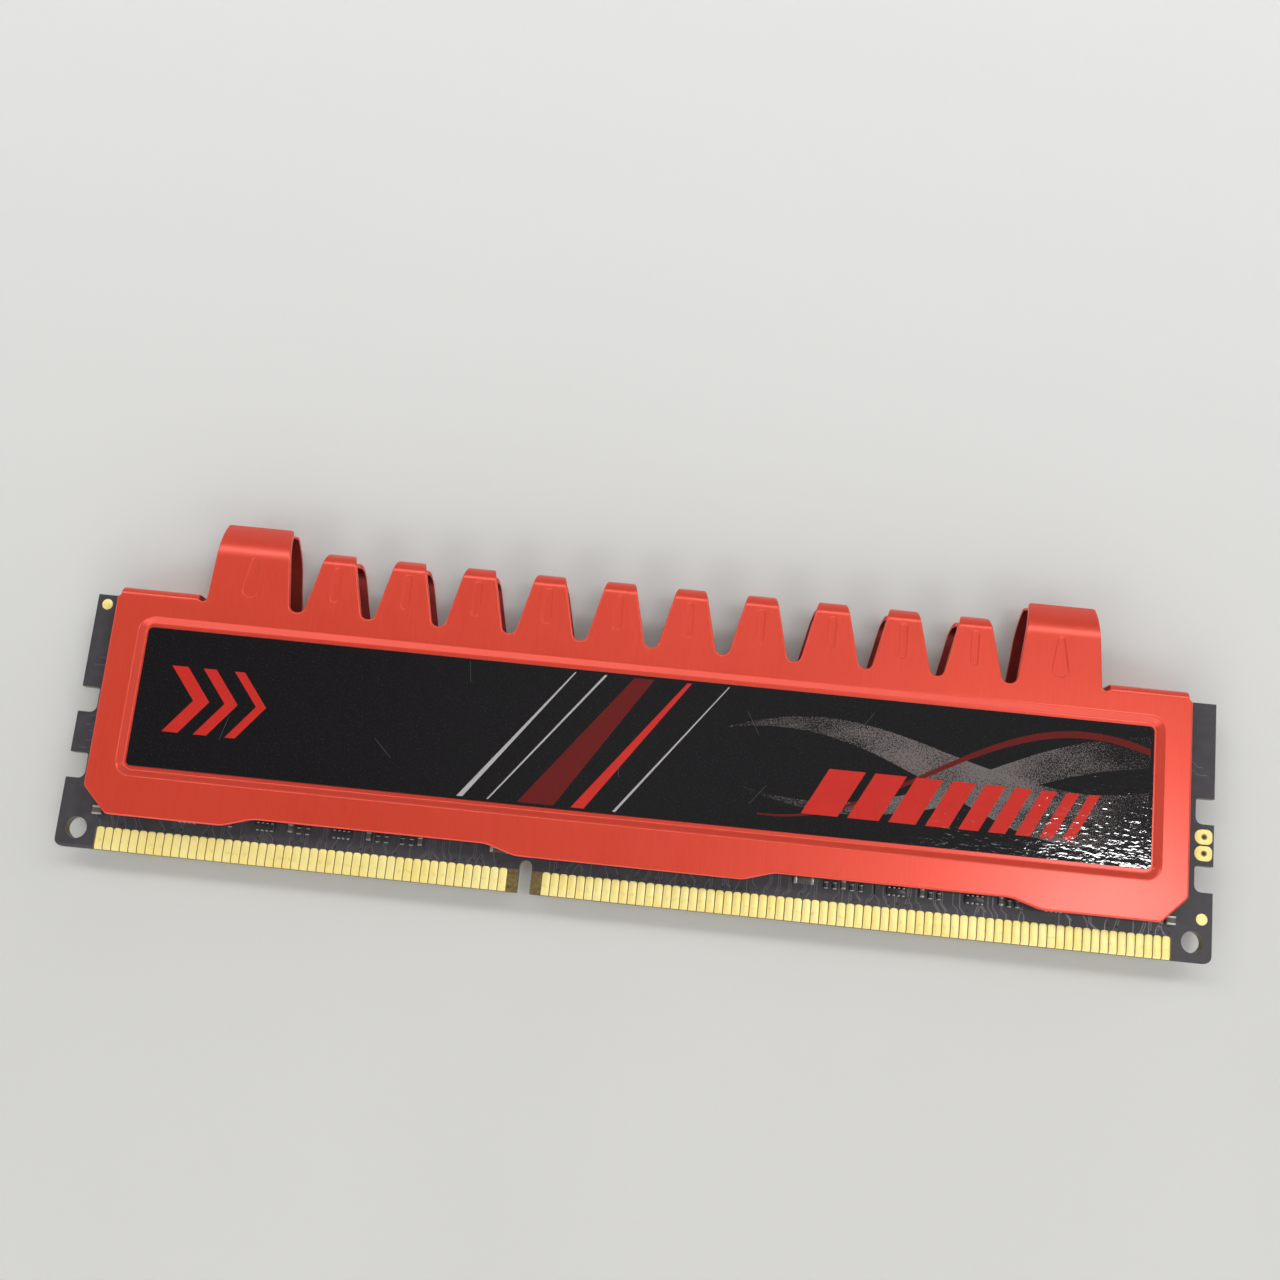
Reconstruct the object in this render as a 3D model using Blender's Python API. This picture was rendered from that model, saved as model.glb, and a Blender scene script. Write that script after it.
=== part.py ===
"""Desktop memory module with a finned heat spreader on each side, lying on its back spreader.

X runs along the module, Y from the contact edge towards the fins, and Z up.
The origin is at the centre of the module's footprint, on the surface that it lies on.
Heights called "above the board" are measured outwards from the board's front or back surface.
"""

import math

import bmesh
import bpy

MM = 0.001

SEAT_GAP = 0.05 * MM

# Circuit board
BOARD_LENGTH = 133.35 * MM
BOARD_HEIGHT = 30.0 * MM
BOARD_THICKNESS = 1.27 * MM
BOARD_FOOT_RADIUS = 0.9 * MM
EDGE_BEVEL_HEIGHT = 0.35 * MM
EDGE_BEVEL_DEPTH = 0.25 * MM
CORNER_HOLE_RADIUS = 1.25 * MM
CORNER_HOLE_SIDE = 2.25 * MM
CORNER_HOLE_HEIGHT = 2.3 * MM
LATCH_NOTCH_LOWER = 9.5 * MM
LATCH_NOTCH_SPACING = 7.8 * MM
LATCH_NOTCH_WIDTH = 3.0 * MM
LATCH_NOTCH_DEPTH = 2.15 * MM
LATCH_NOTCH_LOWER_RADIUS = 0.8 * MM
LATCH_NOTCH_UPPER_RADIUS = 0.35 * MM
KEY_NOTCH_WIDTH = 1.5 * MM
KEY_NOTCH_HEIGHT = 3.8 * MM

# Edge contacts
CONTACT_PITCH = 1.0 * MM
CONTACT_WIDTH = 0.8 * MM
CONTACT_TOP = 2.6 * MM
CONTACT_THICKNESS = 0.05 * MM
CONTACT_WEB = 0.1 * MM
CONTACTS_LEFT = 48
CONTACTS_RIGHT = 72
CONTACT_SIDE = 5.175 * MM
CONTACT_TO_KEY = 2.5 * MM

# Heat spreader sheet
SPREADER_SIDE = 3.5 * MM
SPREADER_SHIFT = -0.2 * MM
SHEET = 0.6 * MM
PANEL_DEPTH = 0.65 * MM
SIDE_CHAMFER = 3.0 * MM
CHAMFER_RADIUS = 0.8 * MM
TAB_LOW = 4.05 * MM
TAB_RISE = 1.05 * MM
END_TAB_LENGTH = 16.425 * MM
MIDDLE_TAB_LENGTH = 26.1 * MM
TAB_SLOPE_LENGTH = 3.5 * MM
TAB_BLEND_RADIUS = 4.0 * MM

# Sunk panel of the spreader: its rim's distances from the sheet's edges, and its stepped side
PANEL_END_MARGIN = 3.075 * MM
PANEL_LOWER_MARGIN = 4.5 * MM
PANEL_UPPER_MARGIN = 2.45 * MM
PANEL_STEP = 0.9 * MM
PANEL_RADIUS = 1.9 * MM
STEP_PROFILE = ((0.0, 0.0), (0.22, 0.12), (0.78, 0.88), (1.0, 1.0))

# Shoulder flanges, folded over the board's top edge
FLANGE_GAP = 0.15 * MM
FLANGE_BEND_RADIUS = 0.9 * MM
FLANGE_INSET = 0.38 * MM
FLANGE_LENGTH = 9.225 * MM
FLANGE_END_RADIUS = 0.3 * MM
FLANGE_MEETING_GAP = 0.3 * MM
RELIEF_WIDTH = 0.9 * MM
RELIEF_DIP = 0.1 * MM

# Fins, with their heights counted from the board's top edge
SHORT_FIN_COUNT = 10
SHORT_FIN_RISE = 7.35 * MM
SHORT_FIN_LEAN = 1.415 * MM
SHORT_FIN_TIP_LEAN = 1.985 * MM
SHORT_ROLL_RADIUS = 1.65 * MM
SHORT_ROLL_ANGLE = math.radians(90.0)
SHORT_LIP = 0.3 * MM
TALL_FIN_RISE = 10.0 * MM
TALL_FIN_BASE = 9.95 * MM
TALL_FIN_INNER_LEAN = 1.475 * MM
TALL_FIN_OUTER_LEAN = 0.6 * MM
TALL_ROLL_RADIUS = 5.8 * MM
TALL_ROLL_ANGLE = math.radians(49.3)
SLOT_WIDTH = 1.4 * MM
END_SLOT_WIDTH = 1.57 * MM
SLOT_DIP = 0.35 * MM
SLOT_RADIUS = 0.85 * MM
FIN_TIP_RADIUS = 0.4 * MM

# Marks pressed into the fins, below the start of each roll
MARK_DEPTH = 0.18 * MM
MARK_STEP = 0.16 * MM
SHORT_MARK_WIDTH = 1.1 * MM
SHORT_MARK_LENGTH = 4.4 * MM
SHORT_MARK_DROP = 2.35 * MM
TALL_MARK_LOW_RADIUS = 1.05 * MM
TALL_MARK_HIGH_RADIUS = 0.42 * MM
TALL_MARK_DROP = 0.6 * MM
TALL_MARK_SPAN = 3.2 * MM

# Labels
LABEL_END_MARGIN = 0.2 * MM
LABEL_SIDE_MARGIN = 0.4 * MM
LABEL_THICKNESS = 0.08 * MM
LABEL_RADIUS = 0.4 * MM

# Memory chips and the configuration memory
CHIPS_PER_GROUP = 4
CHIP_WIDTH = 9.0 * MM
CHIP_LENGTH = 11.0 * MM
CHIP_HEIGHT = 1.05 * MM
CHIP_EDGE = 0.1 * MM
CHIP_SPACING = 4.0 * MM
CHIP_SIDE = 8.0 * MM
BALL_FIELD_HEIGHT = 0.3 * MM
BALL_FIELD_MARGIN = 0.7 * MM
EEPROM_WIDTH = 3.0 * MM
EEPROM_LENGTH = 2.0 * MM
EEPROM_HEIGHT = 0.75 * MM

# Thermal pads between the chips and the spreaders
PAD_THICKNESS = 0.25 * MM
PAD_MARGIN = 0.5 * MM

# Small parts that peek out below the front spreader's lower edge
ARRAY_LENGTH = 2.2 * MM
ARRAY_WIDTH = 0.8 * MM
ARRAY_HEIGHT = 0.4 * MM
ARRAY_TERMINALS = 4
ARRAY_TERMINAL_WIDTH = 0.32 * MM
ARRAY_TERMINAL_REACH = 0.12 * MM
ARRAY_Y = 4.55 * MM
RESISTOR_WIDTH = 0.45 * MM
RESISTOR_LENGTH = 0.8 * MM
RESISTOR_HEIGHT = 0.3 * MM
RESISTOR_Y = 4.5 * MM
CAPACITOR_WIDTH = 0.5 * MM
CAPACITOR_LENGTH = 1.0 * MM
CAPACITOR_HEIGHT = 0.4 * MM
CAPACITOR_Y = 4.7 * MM
WIDE_CAPACITOR_LENGTH = 2.3 * MM
WIDE_CAPACITOR_WIDTH = 0.8 * MM
WIDE_CAPACITOR_HEIGHT = 0.7 * MM
WIDE_CAPACITOR_Y = 4.75 * MM
END_CAPACITOR_WIDTH = 1.1 * MM
END_CAPACITOR_LENGTH = 1.0 * MM
END_CAPACITOR_HEIGHT = 0.5 * MM
END_CAPACITOR_Y = 4.5 * MM
END_CAPACITOR_LEFT_SIDE = 4.5 * MM
END_CAPACITOR_RIGHT_SIDE = 4.85 * MM
TERMINAL_SHARE = 0.26
TERMINAL_LIP = 0.03 * MM

# Each small part and the free board before it, counted from the board's left side
LEFT_ROW = (
    ("array", 14.0 * MM),
    ("resistor", 3.68 * MM),
    ("array", 2.72 * MM),
    ("capacitor", 1.6 * MM),
    ("resistor", 0.57 * MM),
    ("resistor", 0.55 * MM),
    ("array", 2.62 * MM),
    ("capacitor", 1.8 * MM),
    ("resistor", 0.62 * MM),
    ("resistor", 0.55 * MM),
    ("resistor", 1.4 * MM),
    ("resistor", 0.6 * MM),
    ("capacitor", 0.52 * MM),
    ("wide", 7.9 * MM),
)

# The same, counted from the board's right side
RIGHT_ROW = (
    ("array", 17.05 * MM),
    ("resistor", 2.82 * MM),
    ("resistor", 0.45 * MM),
    ("capacitor", 0.47 * MM),
    ("array", 1.65 * MM),
    ("resistor", 2.77 * MM),
    ("resistor", 0.5 * MM),
    ("capacitor", 0.52 * MM),
    ("array", 1.6 * MM),
    ("resistor", 2.72 * MM),
    ("resistor", 0.55 * MM),
    ("capacitor", 0.52 * MM),
    ("resistor", 0.52 * MM),
    ("resistor", 0.55 * MM),
    ("wide", 1.22 * MM),
)

# How finely round shapes are cut
CORNER_STEPS = 4
HOLE_STEPS = 24
ROLL_STEPS = 5
MARK_STEPS = 6

# Heights above the board's surface, worked out from the stack of pieces
PANEL_INNER = SEAT_GAP + CHIP_HEIGHT + SEAT_GAP + PAD_THICKNESS + SEAT_GAP
PANEL_OUTER = PANEL_INNER + SHEET
FACE_HEIGHT = PANEL_OUTER + PANEL_DEPTH
BOARD_MIDDLE_Z = FACE_HEIGHT + BOARD_THICKNESS / 2
FACE_FROM_MIDDLE = BOARD_THICKNESS / 2 + FACE_HEIGHT

# Distances from the contact edge
OVERALL_HEIGHT = BOARD_HEIGHT + TALL_FIN_RISE
SHORT_ROLL_START = BOARD_HEIGHT + SHORT_FIN_RISE - SHORT_ROLL_RADIUS * math.sin(SHORT_ROLL_ANGLE)
TALL_ROLL_START = OVERALL_HEIGHT - TALL_ROLL_RADIUS * math.sin(TALL_ROLL_ANGLE)
FLANGE_BEND_START = BOARD_HEIGHT + FLANGE_GAP + SHEET - FLANGE_BEND_RADIUS
SLOT_BOTTOM = BOARD_HEIGHT - SLOT_DIP
RELIEF_BOTTOM = BOARD_HEIGHT - RELIEF_DIP
PANEL_BOTTOM = TAB_LOW + PANEL_LOWER_MARGIN
PANEL_TOP = BOARD_HEIGHT - PANEL_UPPER_MARGIN
PANEL_MIDDLE = (PANEL_BOTTOM + PANEL_TOP) / 2

# Distances from the spreader's middle
SPREADER_HALF = BOARD_LENGTH / 2 - SPREADER_SIDE
PANEL_LENGTH = 2 * (SPREADER_HALF - PANEL_END_MARGIN)
FLANGE_OUTER_X = SPREADER_HALF - FLANGE_INSET
FLANGE_INNER_X = FLANGE_OUTER_X - FLANGE_LENGTH
RELIEF_MIDDLE_X = FLANGE_INNER_X - RELIEF_WIDTH / 2
TALL_FIN_X = FLANGE_INNER_X - RELIEF_WIDTH - TALL_FIN_BASE / 2
TALL_FIN_INNER_X = TALL_FIN_X - TALL_FIN_BASE / 2
TALL_SLOT_X = TALL_FIN_INNER_X - END_SLOT_WIDTH / 2
SHORT_FIN_PITCH = (2 * (TALL_FIN_INNER_X - END_SLOT_WIDTH) + SLOT_WIDTH) / SHORT_FIN_COUNT
SHORT_FIN_BASE = SHORT_FIN_PITCH - SLOT_WIDTH

# Places in the module's frame
BOARD_LEFT = -BOARD_LENGTH / 2
CONTACT_EDGE = -OVERALL_HEIGHT / 2
KEY_NOTCH_SIDE = CONTACT_SIDE + (CONTACTS_LEFT - 1) * CONTACT_PITCH + CONTACT_TO_KEY
CHIP_OUTER_X = BOARD_LENGTH / 2 - CHIP_SIDE - CHIP_WIDTH / 2
CHIP_PITCH = CHIP_WIDTH + CHIP_SPACING


def clear_scene():
    """Start from an empty scene."""
    for thing in list(bpy.data.objects):
        bpy.data.objects.remove(thing, do_unlink=True)


def make_material(name, colour, roughness, metallic):
    """A plain Principled material."""
    material = bpy.data.materials.new(name)
    material.use_nodes = True
    shader = material.node_tree.nodes["Principled BSDF"]
    shader.inputs["Base Color"].default_value = (*colour, 1.0)
    shader.inputs["Roughness"].default_value = roughness
    shader.inputs["Metallic"].default_value = metallic
    return material


def add_object(name, bm, material, smooth_angle=None):
    """Turn a bmesh into a named object, smooth-shaded below the given edge angle."""
    bm.normal_update()
    mesh = bpy.data.meshes.new(name)
    bm.to_mesh(mesh)
    bm.free()
    mesh.materials.append(material)
    if smooth_angle is not None:
        mesh.shade_smooth()
        mesh.set_sharp_from_angle(angle=smooth_angle)
    thing = bpy.data.objects.new(name, mesh)
    bpy.context.scene.collection.objects.link(thing)
    return thing


def side_z(side, height):
    """World height of a level above the board's front (side 1) or back (side -1) surface."""
    return BOARD_MIDDLE_Z + side * (BOARD_THICKNESS / 2 + height)


def board_x(distance):
    """World X of a point measured from the board's left edge."""
    return BOARD_LEFT + distance


def board_y(distance):
    """World Y of a point measured from the contact edge."""
    return CONTACT_EDGE + distance


def fillet(corners, steps=CORNER_STEPS):
    """Round the corners of a closed outline. Each corner is (x, y, radius)."""
    points = []
    count = len(corners)
    for index, (x, y, radius) in enumerate(corners):
        if radius <= 0.0:
            points.append((x, y))
            continue
        before = corners[index - 1]
        after = corners[(index + 1) % count]
        back = (before[0] - x, before[1] - y)
        ahead = (after[0] - x, after[1] - y)
        back_length = math.hypot(*back)
        ahead_length = math.hypot(*ahead)
        back = (back[0] / back_length, back[1] / back_length)
        ahead = (ahead[0] / ahead_length, ahead[1] / ahead_length)
        opening = math.acos(max(-1.0, min(1.0, back[0] * ahead[0] + back[1] * ahead[1])))
        reach = min(radius / math.tan(opening / 2), 0.49 * back_length, 0.49 * ahead_length)
        fitted = reach * math.tan(opening / 2)
        middle = (back[0] + ahead[0], back[1] + ahead[1])
        middle_length = math.hypot(*middle)
        to_centre = fitted / math.sin(opening / 2) / middle_length
        centre = (x + middle[0] * to_centre, y + middle[1] * to_centre)
        start = math.atan2(y + back[1] * reach - centre[1], x + back[0] * reach - centre[0])
        end = math.atan2(y + ahead[1] * reach - centre[1], x + ahead[0] * reach - centre[0])
        turn = (end - start + math.pi) % (2 * math.pi) - math.pi
        for step in range(steps + 1):
            angle = start + turn * step / steps
            points.append((centre[0] + fitted * math.cos(angle), centre[1] + fitted * math.sin(angle)))
    return points


def rounded_rectangle(middle_x, middle_y, length, width, radius, steps=CORNER_STEPS):
    """Counterclockwise outline of a rectangle with round corners."""
    x = length / 2
    y = width / 2
    corners = ((-x, -y), (x, -y), (x, y), (-x, y))
    return fillet([(middle_x + cx, middle_y + cy, radius) for cx, cy in corners], steps)


def circle(middle_x, middle_y, radius, steps):
    """Counterclockwise outline of a circle."""
    turns = [2 * math.pi * step / steps for step in range(steps)]
    return [(middle_x + radius * math.cos(turn), middle_y + radius * math.sin(turn)) for turn in turns]


def add_loop(bm, points, z=0.0):
    """Closed loop of edges through the points. Returns its vertices."""
    verts = [bm.verts.new((x, y, z)) for x, y in points]
    for index, vert in enumerate(verts):
        bm.edges.new((vert, verts[(index + 1) % len(verts)]))
    return verts


def fill_between(bm, loops):
    """Fill the area inside the first loop and outside the others, facing up."""
    edges = set()
    for loop in loops:
        for index, vert in enumerate(loop):
            edges.add(bm.edges.get((vert, loop[(index + 1) % len(loop)])))
    made = bmesh.ops.triangle_fill(bm, edges=list(edges), use_beauty=True, normal=(0.0, 0.0, 1.0))
    faces = [item for item in made["geom"] if isinstance(item, bmesh.types.BMFace)]
    for face in faces:
        face.normal_update()
        if face.normal.z < 0.0:
            face.normal_flip()
    return faces


def thicken(bm, place):
    """Close an upward-facing sheet into a solid. place(x, y, z, inner) gives each vertex's final spot."""
    faces = list(bm.faces)
    outer = list(bm.verts)
    inner = {vert: bm.verts.new(vert.co) for vert in outer}
    rims = [(edge.link_loops[0].vert, edge.link_loops[0].link_loop_next.vert)
            for edge in bm.edges if len(edge.link_faces) == 1]
    for face in faces:
        bm.faces.new([inner[vert] for vert in reversed(face.verts)])
    for first, second in rims:
        bm.faces.new((second, first, inner[first], inner[second]))
    for vert in outer:
        flat = vert.co.copy()
        vert.co = place(flat.x, flat.y, flat.z, False)
        inner[vert].co = place(flat.x, flat.y, flat.z, True)


def prism(outline, low, high, holes=()):
    """Upright solid with a flat outline and any holes, between two heights."""
    bm = bmesh.new()
    outer = add_loop(bm, outline)
    if holes:
        fill_between(bm, [outer] + [add_loop(bm, hole) for hole in holes])
    else:
        bm.faces.new(outer)
    thicken(bm, lambda x, y, z, inner: (x, y, low if inner else high))
    return bm


def side_prism(outline, side, lower, upper, holes=()):
    """Upright solid between two heights above the board's front or back surface."""
    levels = sorted((side_z(side, lower), side_z(side, upper)))
    return prism(outline, levels[0], levels[1], holes)


def latch_notch_corners(edge, inward, middle, rising):
    """Corners of one latch notch in a side edge, in the order that the outline passes them."""
    half = LATCH_NOTCH_WIDTH / 2
    low = middle - half
    high = middle + half
    depth = edge + inward * LATCH_NOTCH_DEPTH
    corners = [
        (edge, low, 0.0),
        (depth, low, LATCH_NOTCH_LOWER_RADIUS),
        (depth, high, LATCH_NOTCH_UPPER_RADIUS),
        (edge, high, 0.0),
    ]
    return corners if rising else corners[::-1]


def board_outline():
    """Outline of the circuit board with its key notch and latch notches."""
    key_left = KEY_NOTCH_SIDE - KEY_NOTCH_WIDTH / 2
    key_right = KEY_NOTCH_SIDE + KEY_NOTCH_WIDTH / 2
    key_radius = KEY_NOTCH_WIDTH / 2
    corners = [
        (0.0, 0.0, BOARD_FOOT_RADIUS),
        (key_left, 0.0, 0.0),
        (key_left, KEY_NOTCH_HEIGHT, key_radius),
        (key_right, KEY_NOTCH_HEIGHT, key_radius),
        (key_right, 0.0, 0.0),
        (BOARD_LENGTH, 0.0, BOARD_FOOT_RADIUS),
    ]
    latch_heights = (LATCH_NOTCH_LOWER, LATCH_NOTCH_LOWER + LATCH_NOTCH_SPACING)
    for middle in latch_heights:
        corners += latch_notch_corners(BOARD_LENGTH, -1, middle, True)
    corners += [(BOARD_LENGTH, BOARD_HEIGHT, 0.0), (0.0, BOARD_HEIGHT, 0.0)]
    for middle in reversed(latch_heights):
        corners += latch_notch_corners(0.0, 1, middle, False)
    return [(board_x(x), board_y(y)) for x, y in fillet(corners)]


def bevel_contact_edge(bm):
    """Thin the board towards its contact edge, so that it slides into a socket."""
    bevel_y = board_y(EDGE_BEVEL_HEIGHT)
    everything = bm.verts[:] + bm.edges[:] + bm.faces[:]
    bmesh.ops.bisect_plane(bm, geom=everything, dist=1e-7,
                           plane_co=(0.0, bevel_y, 0.0), plane_no=(0.0, 1.0, 0.0))
    for vert in bm.verts:
        below = bevel_y - vert.co.y
        if below > 0.0:
            sign = 1.0 if vert.co.z > BOARD_MIDDLE_Z else -1.0
            vert.co.z -= sign * EDGE_BEVEL_DEPTH * below / EDGE_BEVEL_HEIGHT


def build_circuit_board(material):
    """The green-black laminate that carries everything else."""
    hole_y = board_y(CORNER_HOLE_HEIGHT)
    holes = [
        circle(board_x(CORNER_HOLE_SIDE), hole_y, CORNER_HOLE_RADIUS, HOLE_STEPS),
        circle(board_x(BOARD_LENGTH - CORNER_HOLE_SIDE), hole_y, CORNER_HOLE_RADIUS, HOLE_STEPS),
    ]
    bm = prism(board_outline(), side_z(-1, 0.0), side_z(1, 0.0), holes)
    bevel_contact_edge(bm)
    add_object("circuit_board", bm, material)


def contact_places():
    """Contact middles from the board's left edge, left and right of the key notch."""
    left_last = KEY_NOTCH_SIDE - CONTACT_TO_KEY
    right_first = KEY_NOTCH_SIDE + CONTACT_TO_KEY
    left = [left_last - CONTACT_PITCH * step for step in reversed(range(CONTACTS_LEFT))]
    right = [right_first + CONTACT_PITCH * step for step in range(CONTACTS_RIGHT)]
    return {"left": left, "right": right}


def contact_row_outline(middles):
    """Outline of one row of contacts, joined by a thin web along their lower ends."""
    half = CONTACT_WIDTH / 2
    low = board_y(EDGE_BEVEL_HEIGHT)
    web = low + CONTACT_WEB
    high = board_y(CONTACT_TOP)
    points = [(board_x(middles[0] - half), low), (board_x(middles[-1] + half), low)]
    for place, middle in enumerate(reversed(middles)):
        right = board_x(middle + half)
        left = board_x(middle - half)
        if place > 0:
            points.append((right, web))
        points += [(right, high), (left, high)]
        if place < len(middles) - 1:
            points.append((left, web))
    return points


def build_contacts(material):
    """Two rows of gold contacts on each side of the board."""
    for side, side_name in ((1, "front"), (-1, "back")):
        for part_name, middles in contact_places().items():
            top = SEAT_GAP + CONTACT_THICKNESS
            bm = side_prism(contact_row_outline(middles), side, SEAT_GAP, top)
            add_object(f"contacts_{side_name}_{part_name}", bm, material)


def box_bmesh(middle_x, middle_y, length, width, low, high):
    """Closed box between two heights."""
    return prism(rounded_rectangle(middle_x, middle_y, length, width, 0.0), low, high)


def chip_middles():
    """X places of the chips of one side, from the left."""
    right = [CHIP_OUTER_X - CHIP_PITCH * step for step in reversed(range(CHIPS_PER_GROUP))]
    return [-x for x in reversed(right)] + right


def chip_bmesh(x, y, side):
    """One memory chip: a package with chamfered edges on a lower field of solder balls."""
    package = BALL_FIELD_HEIGHT + SEAT_GAP
    top = SEAT_GAP + CHIP_HEIGHT
    levels = (
        (SEAT_GAP, BALL_FIELD_MARGIN),
        (package, BALL_FIELD_MARGIN),
        (package, 0.0),
        (top - CHIP_EDGE, 0.0),
        (top, CHIP_EDGE),
    )
    bm = bmesh.new()
    rings = []
    for height, inset in levels:
        outline = rounded_rectangle(x, y, CHIP_WIDTH - 2 * inset, CHIP_LENGTH - 2 * inset, 0.0)
        rings.append([bm.verts.new((px, py, side_z(side, height))) for px, py in outline])
    stack_rings(bm, rings, side < 0)
    return bm


def stack_rings(bm, rings, turned):
    """Close a stack of equal rings into a solid. turned is for rings that go down."""
    faces = [bm.faces.new(rings[-1]), bm.faces.new(rings[0][::-1])]
    for lower, upper in zip(rings, rings[1:]):
        count = len(lower)
        for index in range(count):
            after = (index + 1) % count
            faces.append(bm.faces.new((lower[index], lower[after], upper[after], upper[index])))
    if turned:
        bmesh.ops.reverse_faces(bm, faces=faces)


def build_chips(chip_material, eeprom_material):
    """Eight memory chips on each side, and the configuration memory in the front middle."""
    for side, side_name in ((1, "front"), (-1, "back")):
        for number, x in enumerate(chip_middles(), start=1):
            bm = chip_bmesh(x, board_y(PANEL_MIDDLE), side)
            add_object(f"memory_chip_{side_name}_{number}", bm, chip_material)
    low = side_z(1, SEAT_GAP)
    high = side_z(1, SEAT_GAP + EEPROM_HEIGHT)
    bm = box_bmesh(0.0, board_y(PANEL_MIDDLE), EEPROM_WIDTH, EEPROM_LENGTH, low, high)
    add_object("configuration_memory", bm, eeprom_material)


def build_thermal_pads(material):
    """Heat-conducting tape over the chips of each side."""
    chips = chip_middles()
    length = chips[-1] - chips[0] + CHIP_WIDTH + 2 * PAD_MARGIN
    width = CHIP_LENGTH + 2 * PAD_MARGIN
    low = SEAT_GAP + CHIP_HEIGHT + SEAT_GAP
    outline = rounded_rectangle(0.0, board_y(PANEL_MIDDLE), length, width, 0.0)
    for side, side_name in ((1, "front"), (-1, "back")):
        bm = side_prism(outline, side, low, low + PAD_THICKNESS)
        add_object(f"thermal_pad_{side_name}", bm, material)


def fin_side(middle, reach, shoulder_lean, tip_lean, shoulder_y, tip_y):
    """One side of a fin from its base to its tip. A negative reach is the left side."""
    sign = math.copysign(1.0, reach)
    return [
        (middle + reach, SLOT_BOTTOM, SLOT_RADIUS),
        (middle + reach - sign * shoulder_lean, shoulder_y, 0.0),
        (middle + reach - sign * tip_lean, tip_y, FIN_TIP_RADIUS),
    ]


def tall_fin_corners(sign):
    """A tall fin and the relief slot beside it, from right to left."""
    tip_y = TALL_ROLL_START + TALL_ROLL_RADIUS * TALL_ROLL_ANGLE
    share = (TALL_ROLL_START - SLOT_BOTTOM) / (tip_y - SLOT_BOTTOM)
    sides = []
    for reach, lean in ((sign, TALL_FIN_OUTER_LEAN), (-sign, TALL_FIN_INNER_LEAN)):
        sides.append(fin_side(sign * TALL_FIN_X, reach * TALL_FIN_BASE / 2, lean * share, lean,
                              TALL_ROLL_START, tip_y))
    outer, inner = sides
    outer[0] = (sign * (FLANGE_INNER_X - RELIEF_WIDTH), RELIEF_BOTTOM, RELIEF_WIDTH * 0.45)
    return outer + inner[::-1] if sign > 0 else inner + outer[::-1]


def short_fin_corners(middle):
    """A short fin, from right to left."""
    tip_y = SHORT_ROLL_START + SHORT_ROLL_RADIUS * SHORT_ROLL_ANGLE + SHORT_LIP
    right, left = (fin_side(middle, reach, SHORT_FIN_LEAN, SHORT_FIN_TIP_LEAN, SHORT_ROLL_START, tip_y)
                   for reach in (SHORT_FIN_BASE / 2, -SHORT_FIN_BASE / 2))
    return right + left[::-1]


def flange_corners(sign):
    """A shoulder flange laid flat, from its relief slot outwards for sign 1."""
    wall = FACE_FROM_MIDDLE - FLANGE_BEND_RADIUS - FLANGE_MEETING_GAP / 2
    end_y = FLANGE_BEND_START + FLANGE_BEND_RADIUS * math.pi / 2 + wall
    corners = [
        (sign * FLANGE_INNER_X, RELIEF_BOTTOM, RELIEF_WIDTH * 0.45),
        (sign * FLANGE_INNER_X, end_y, FLANGE_END_RADIUS),
        (sign * FLANGE_OUTER_X, end_y, FLANGE_END_RADIUS),
        (sign * FLANGE_OUTER_X, FLANGE_BEND_START, 0.0),
        (sign * SPREADER_HALF, FLANGE_BEND_START - FLANGE_BEND_RADIUS / 2, 0.0),
    ]
    return corners


def lower_edge_corners():
    """The wavy lower edge from the left side to the right side."""
    half = SPREADER_HALF
    high = TAB_LOW + TAB_RISE
    tab_end = half - END_TAB_LENGTH
    middle_end = MIDDLE_TAB_LENGTH / 2
    right = [
        (middle_end, TAB_LOW, TAB_BLEND_RADIUS),
        (middle_end + TAB_SLOPE_LENGTH, high, TAB_BLEND_RADIUS),
        (tab_end - TAB_SLOPE_LENGTH, high, TAB_BLEND_RADIUS),
        (tab_end, TAB_LOW, TAB_BLEND_RADIUS),
        (half - SIDE_CHAMFER, TAB_LOW, CHAMFER_RADIUS),
        (half, TAB_LOW + SIDE_CHAMFER, CHAMFER_RADIUS),
    ]
    left = [(-x, y, radius) for x, y, radius in reversed(right)]
    return left + right


def spreader_outline():
    """The whole sheet laid flat, counterclockwise."""
    corners = lower_edge_corners()
    corners += flange_corners(1)[::-1]
    corners += tall_fin_corners(1)
    for number in reversed(range(SHORT_FIN_COUNT)):
        corners += short_fin_corners((number - (SHORT_FIN_COUNT - 1) / 2) * SHORT_FIN_PITCH)
    corners += tall_fin_corners(-1)
    corners += flange_corners(-1)
    return fillet(corners)


def short_mark(middle, inset):
    """Long oval mark of a short fin."""
    radius = SHORT_MARK_WIDTH / 2 - inset
    length = SHORT_MARK_LENGTH - 2 * inset
    mark_y = SHORT_ROLL_START - SHORT_MARK_DROP
    return mark_outline(middle, radius, radius, mark_y - length / 2 + radius, mark_y + length / 2 - radius)


def tall_mark(middle, inset):
    """Drop-shaped mark of a tall fin."""
    high = TALL_ROLL_START - TALL_MARK_DROP
    return mark_outline(middle, TALL_MARK_LOW_RADIUS - inset, TALL_MARK_HIGH_RADIUS - inset,
                        high - TALL_MARK_SPAN, high)


def mark_outline(middle, low_radius, high_radius, low, high):
    """Counterclockwise outline round a lower and an upper circle."""
    lean = math.asin((low_radius - high_radius) / (high - low))
    points = []
    for step in range(MARK_STEPS + 1):
        angle = lean + (math.pi - 2 * lean) * step / MARK_STEPS
        points.append((middle + high_radius * math.cos(angle), high + high_radius * math.sin(angle)))
    for step in range(MARK_STEPS + 1):
        angle = math.pi - lean + (math.pi + 2 * lean) * step / MARK_STEPS
        points.append((middle + low_radius * math.cos(angle), low + low_radius * math.sin(angle)))
    return points


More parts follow.
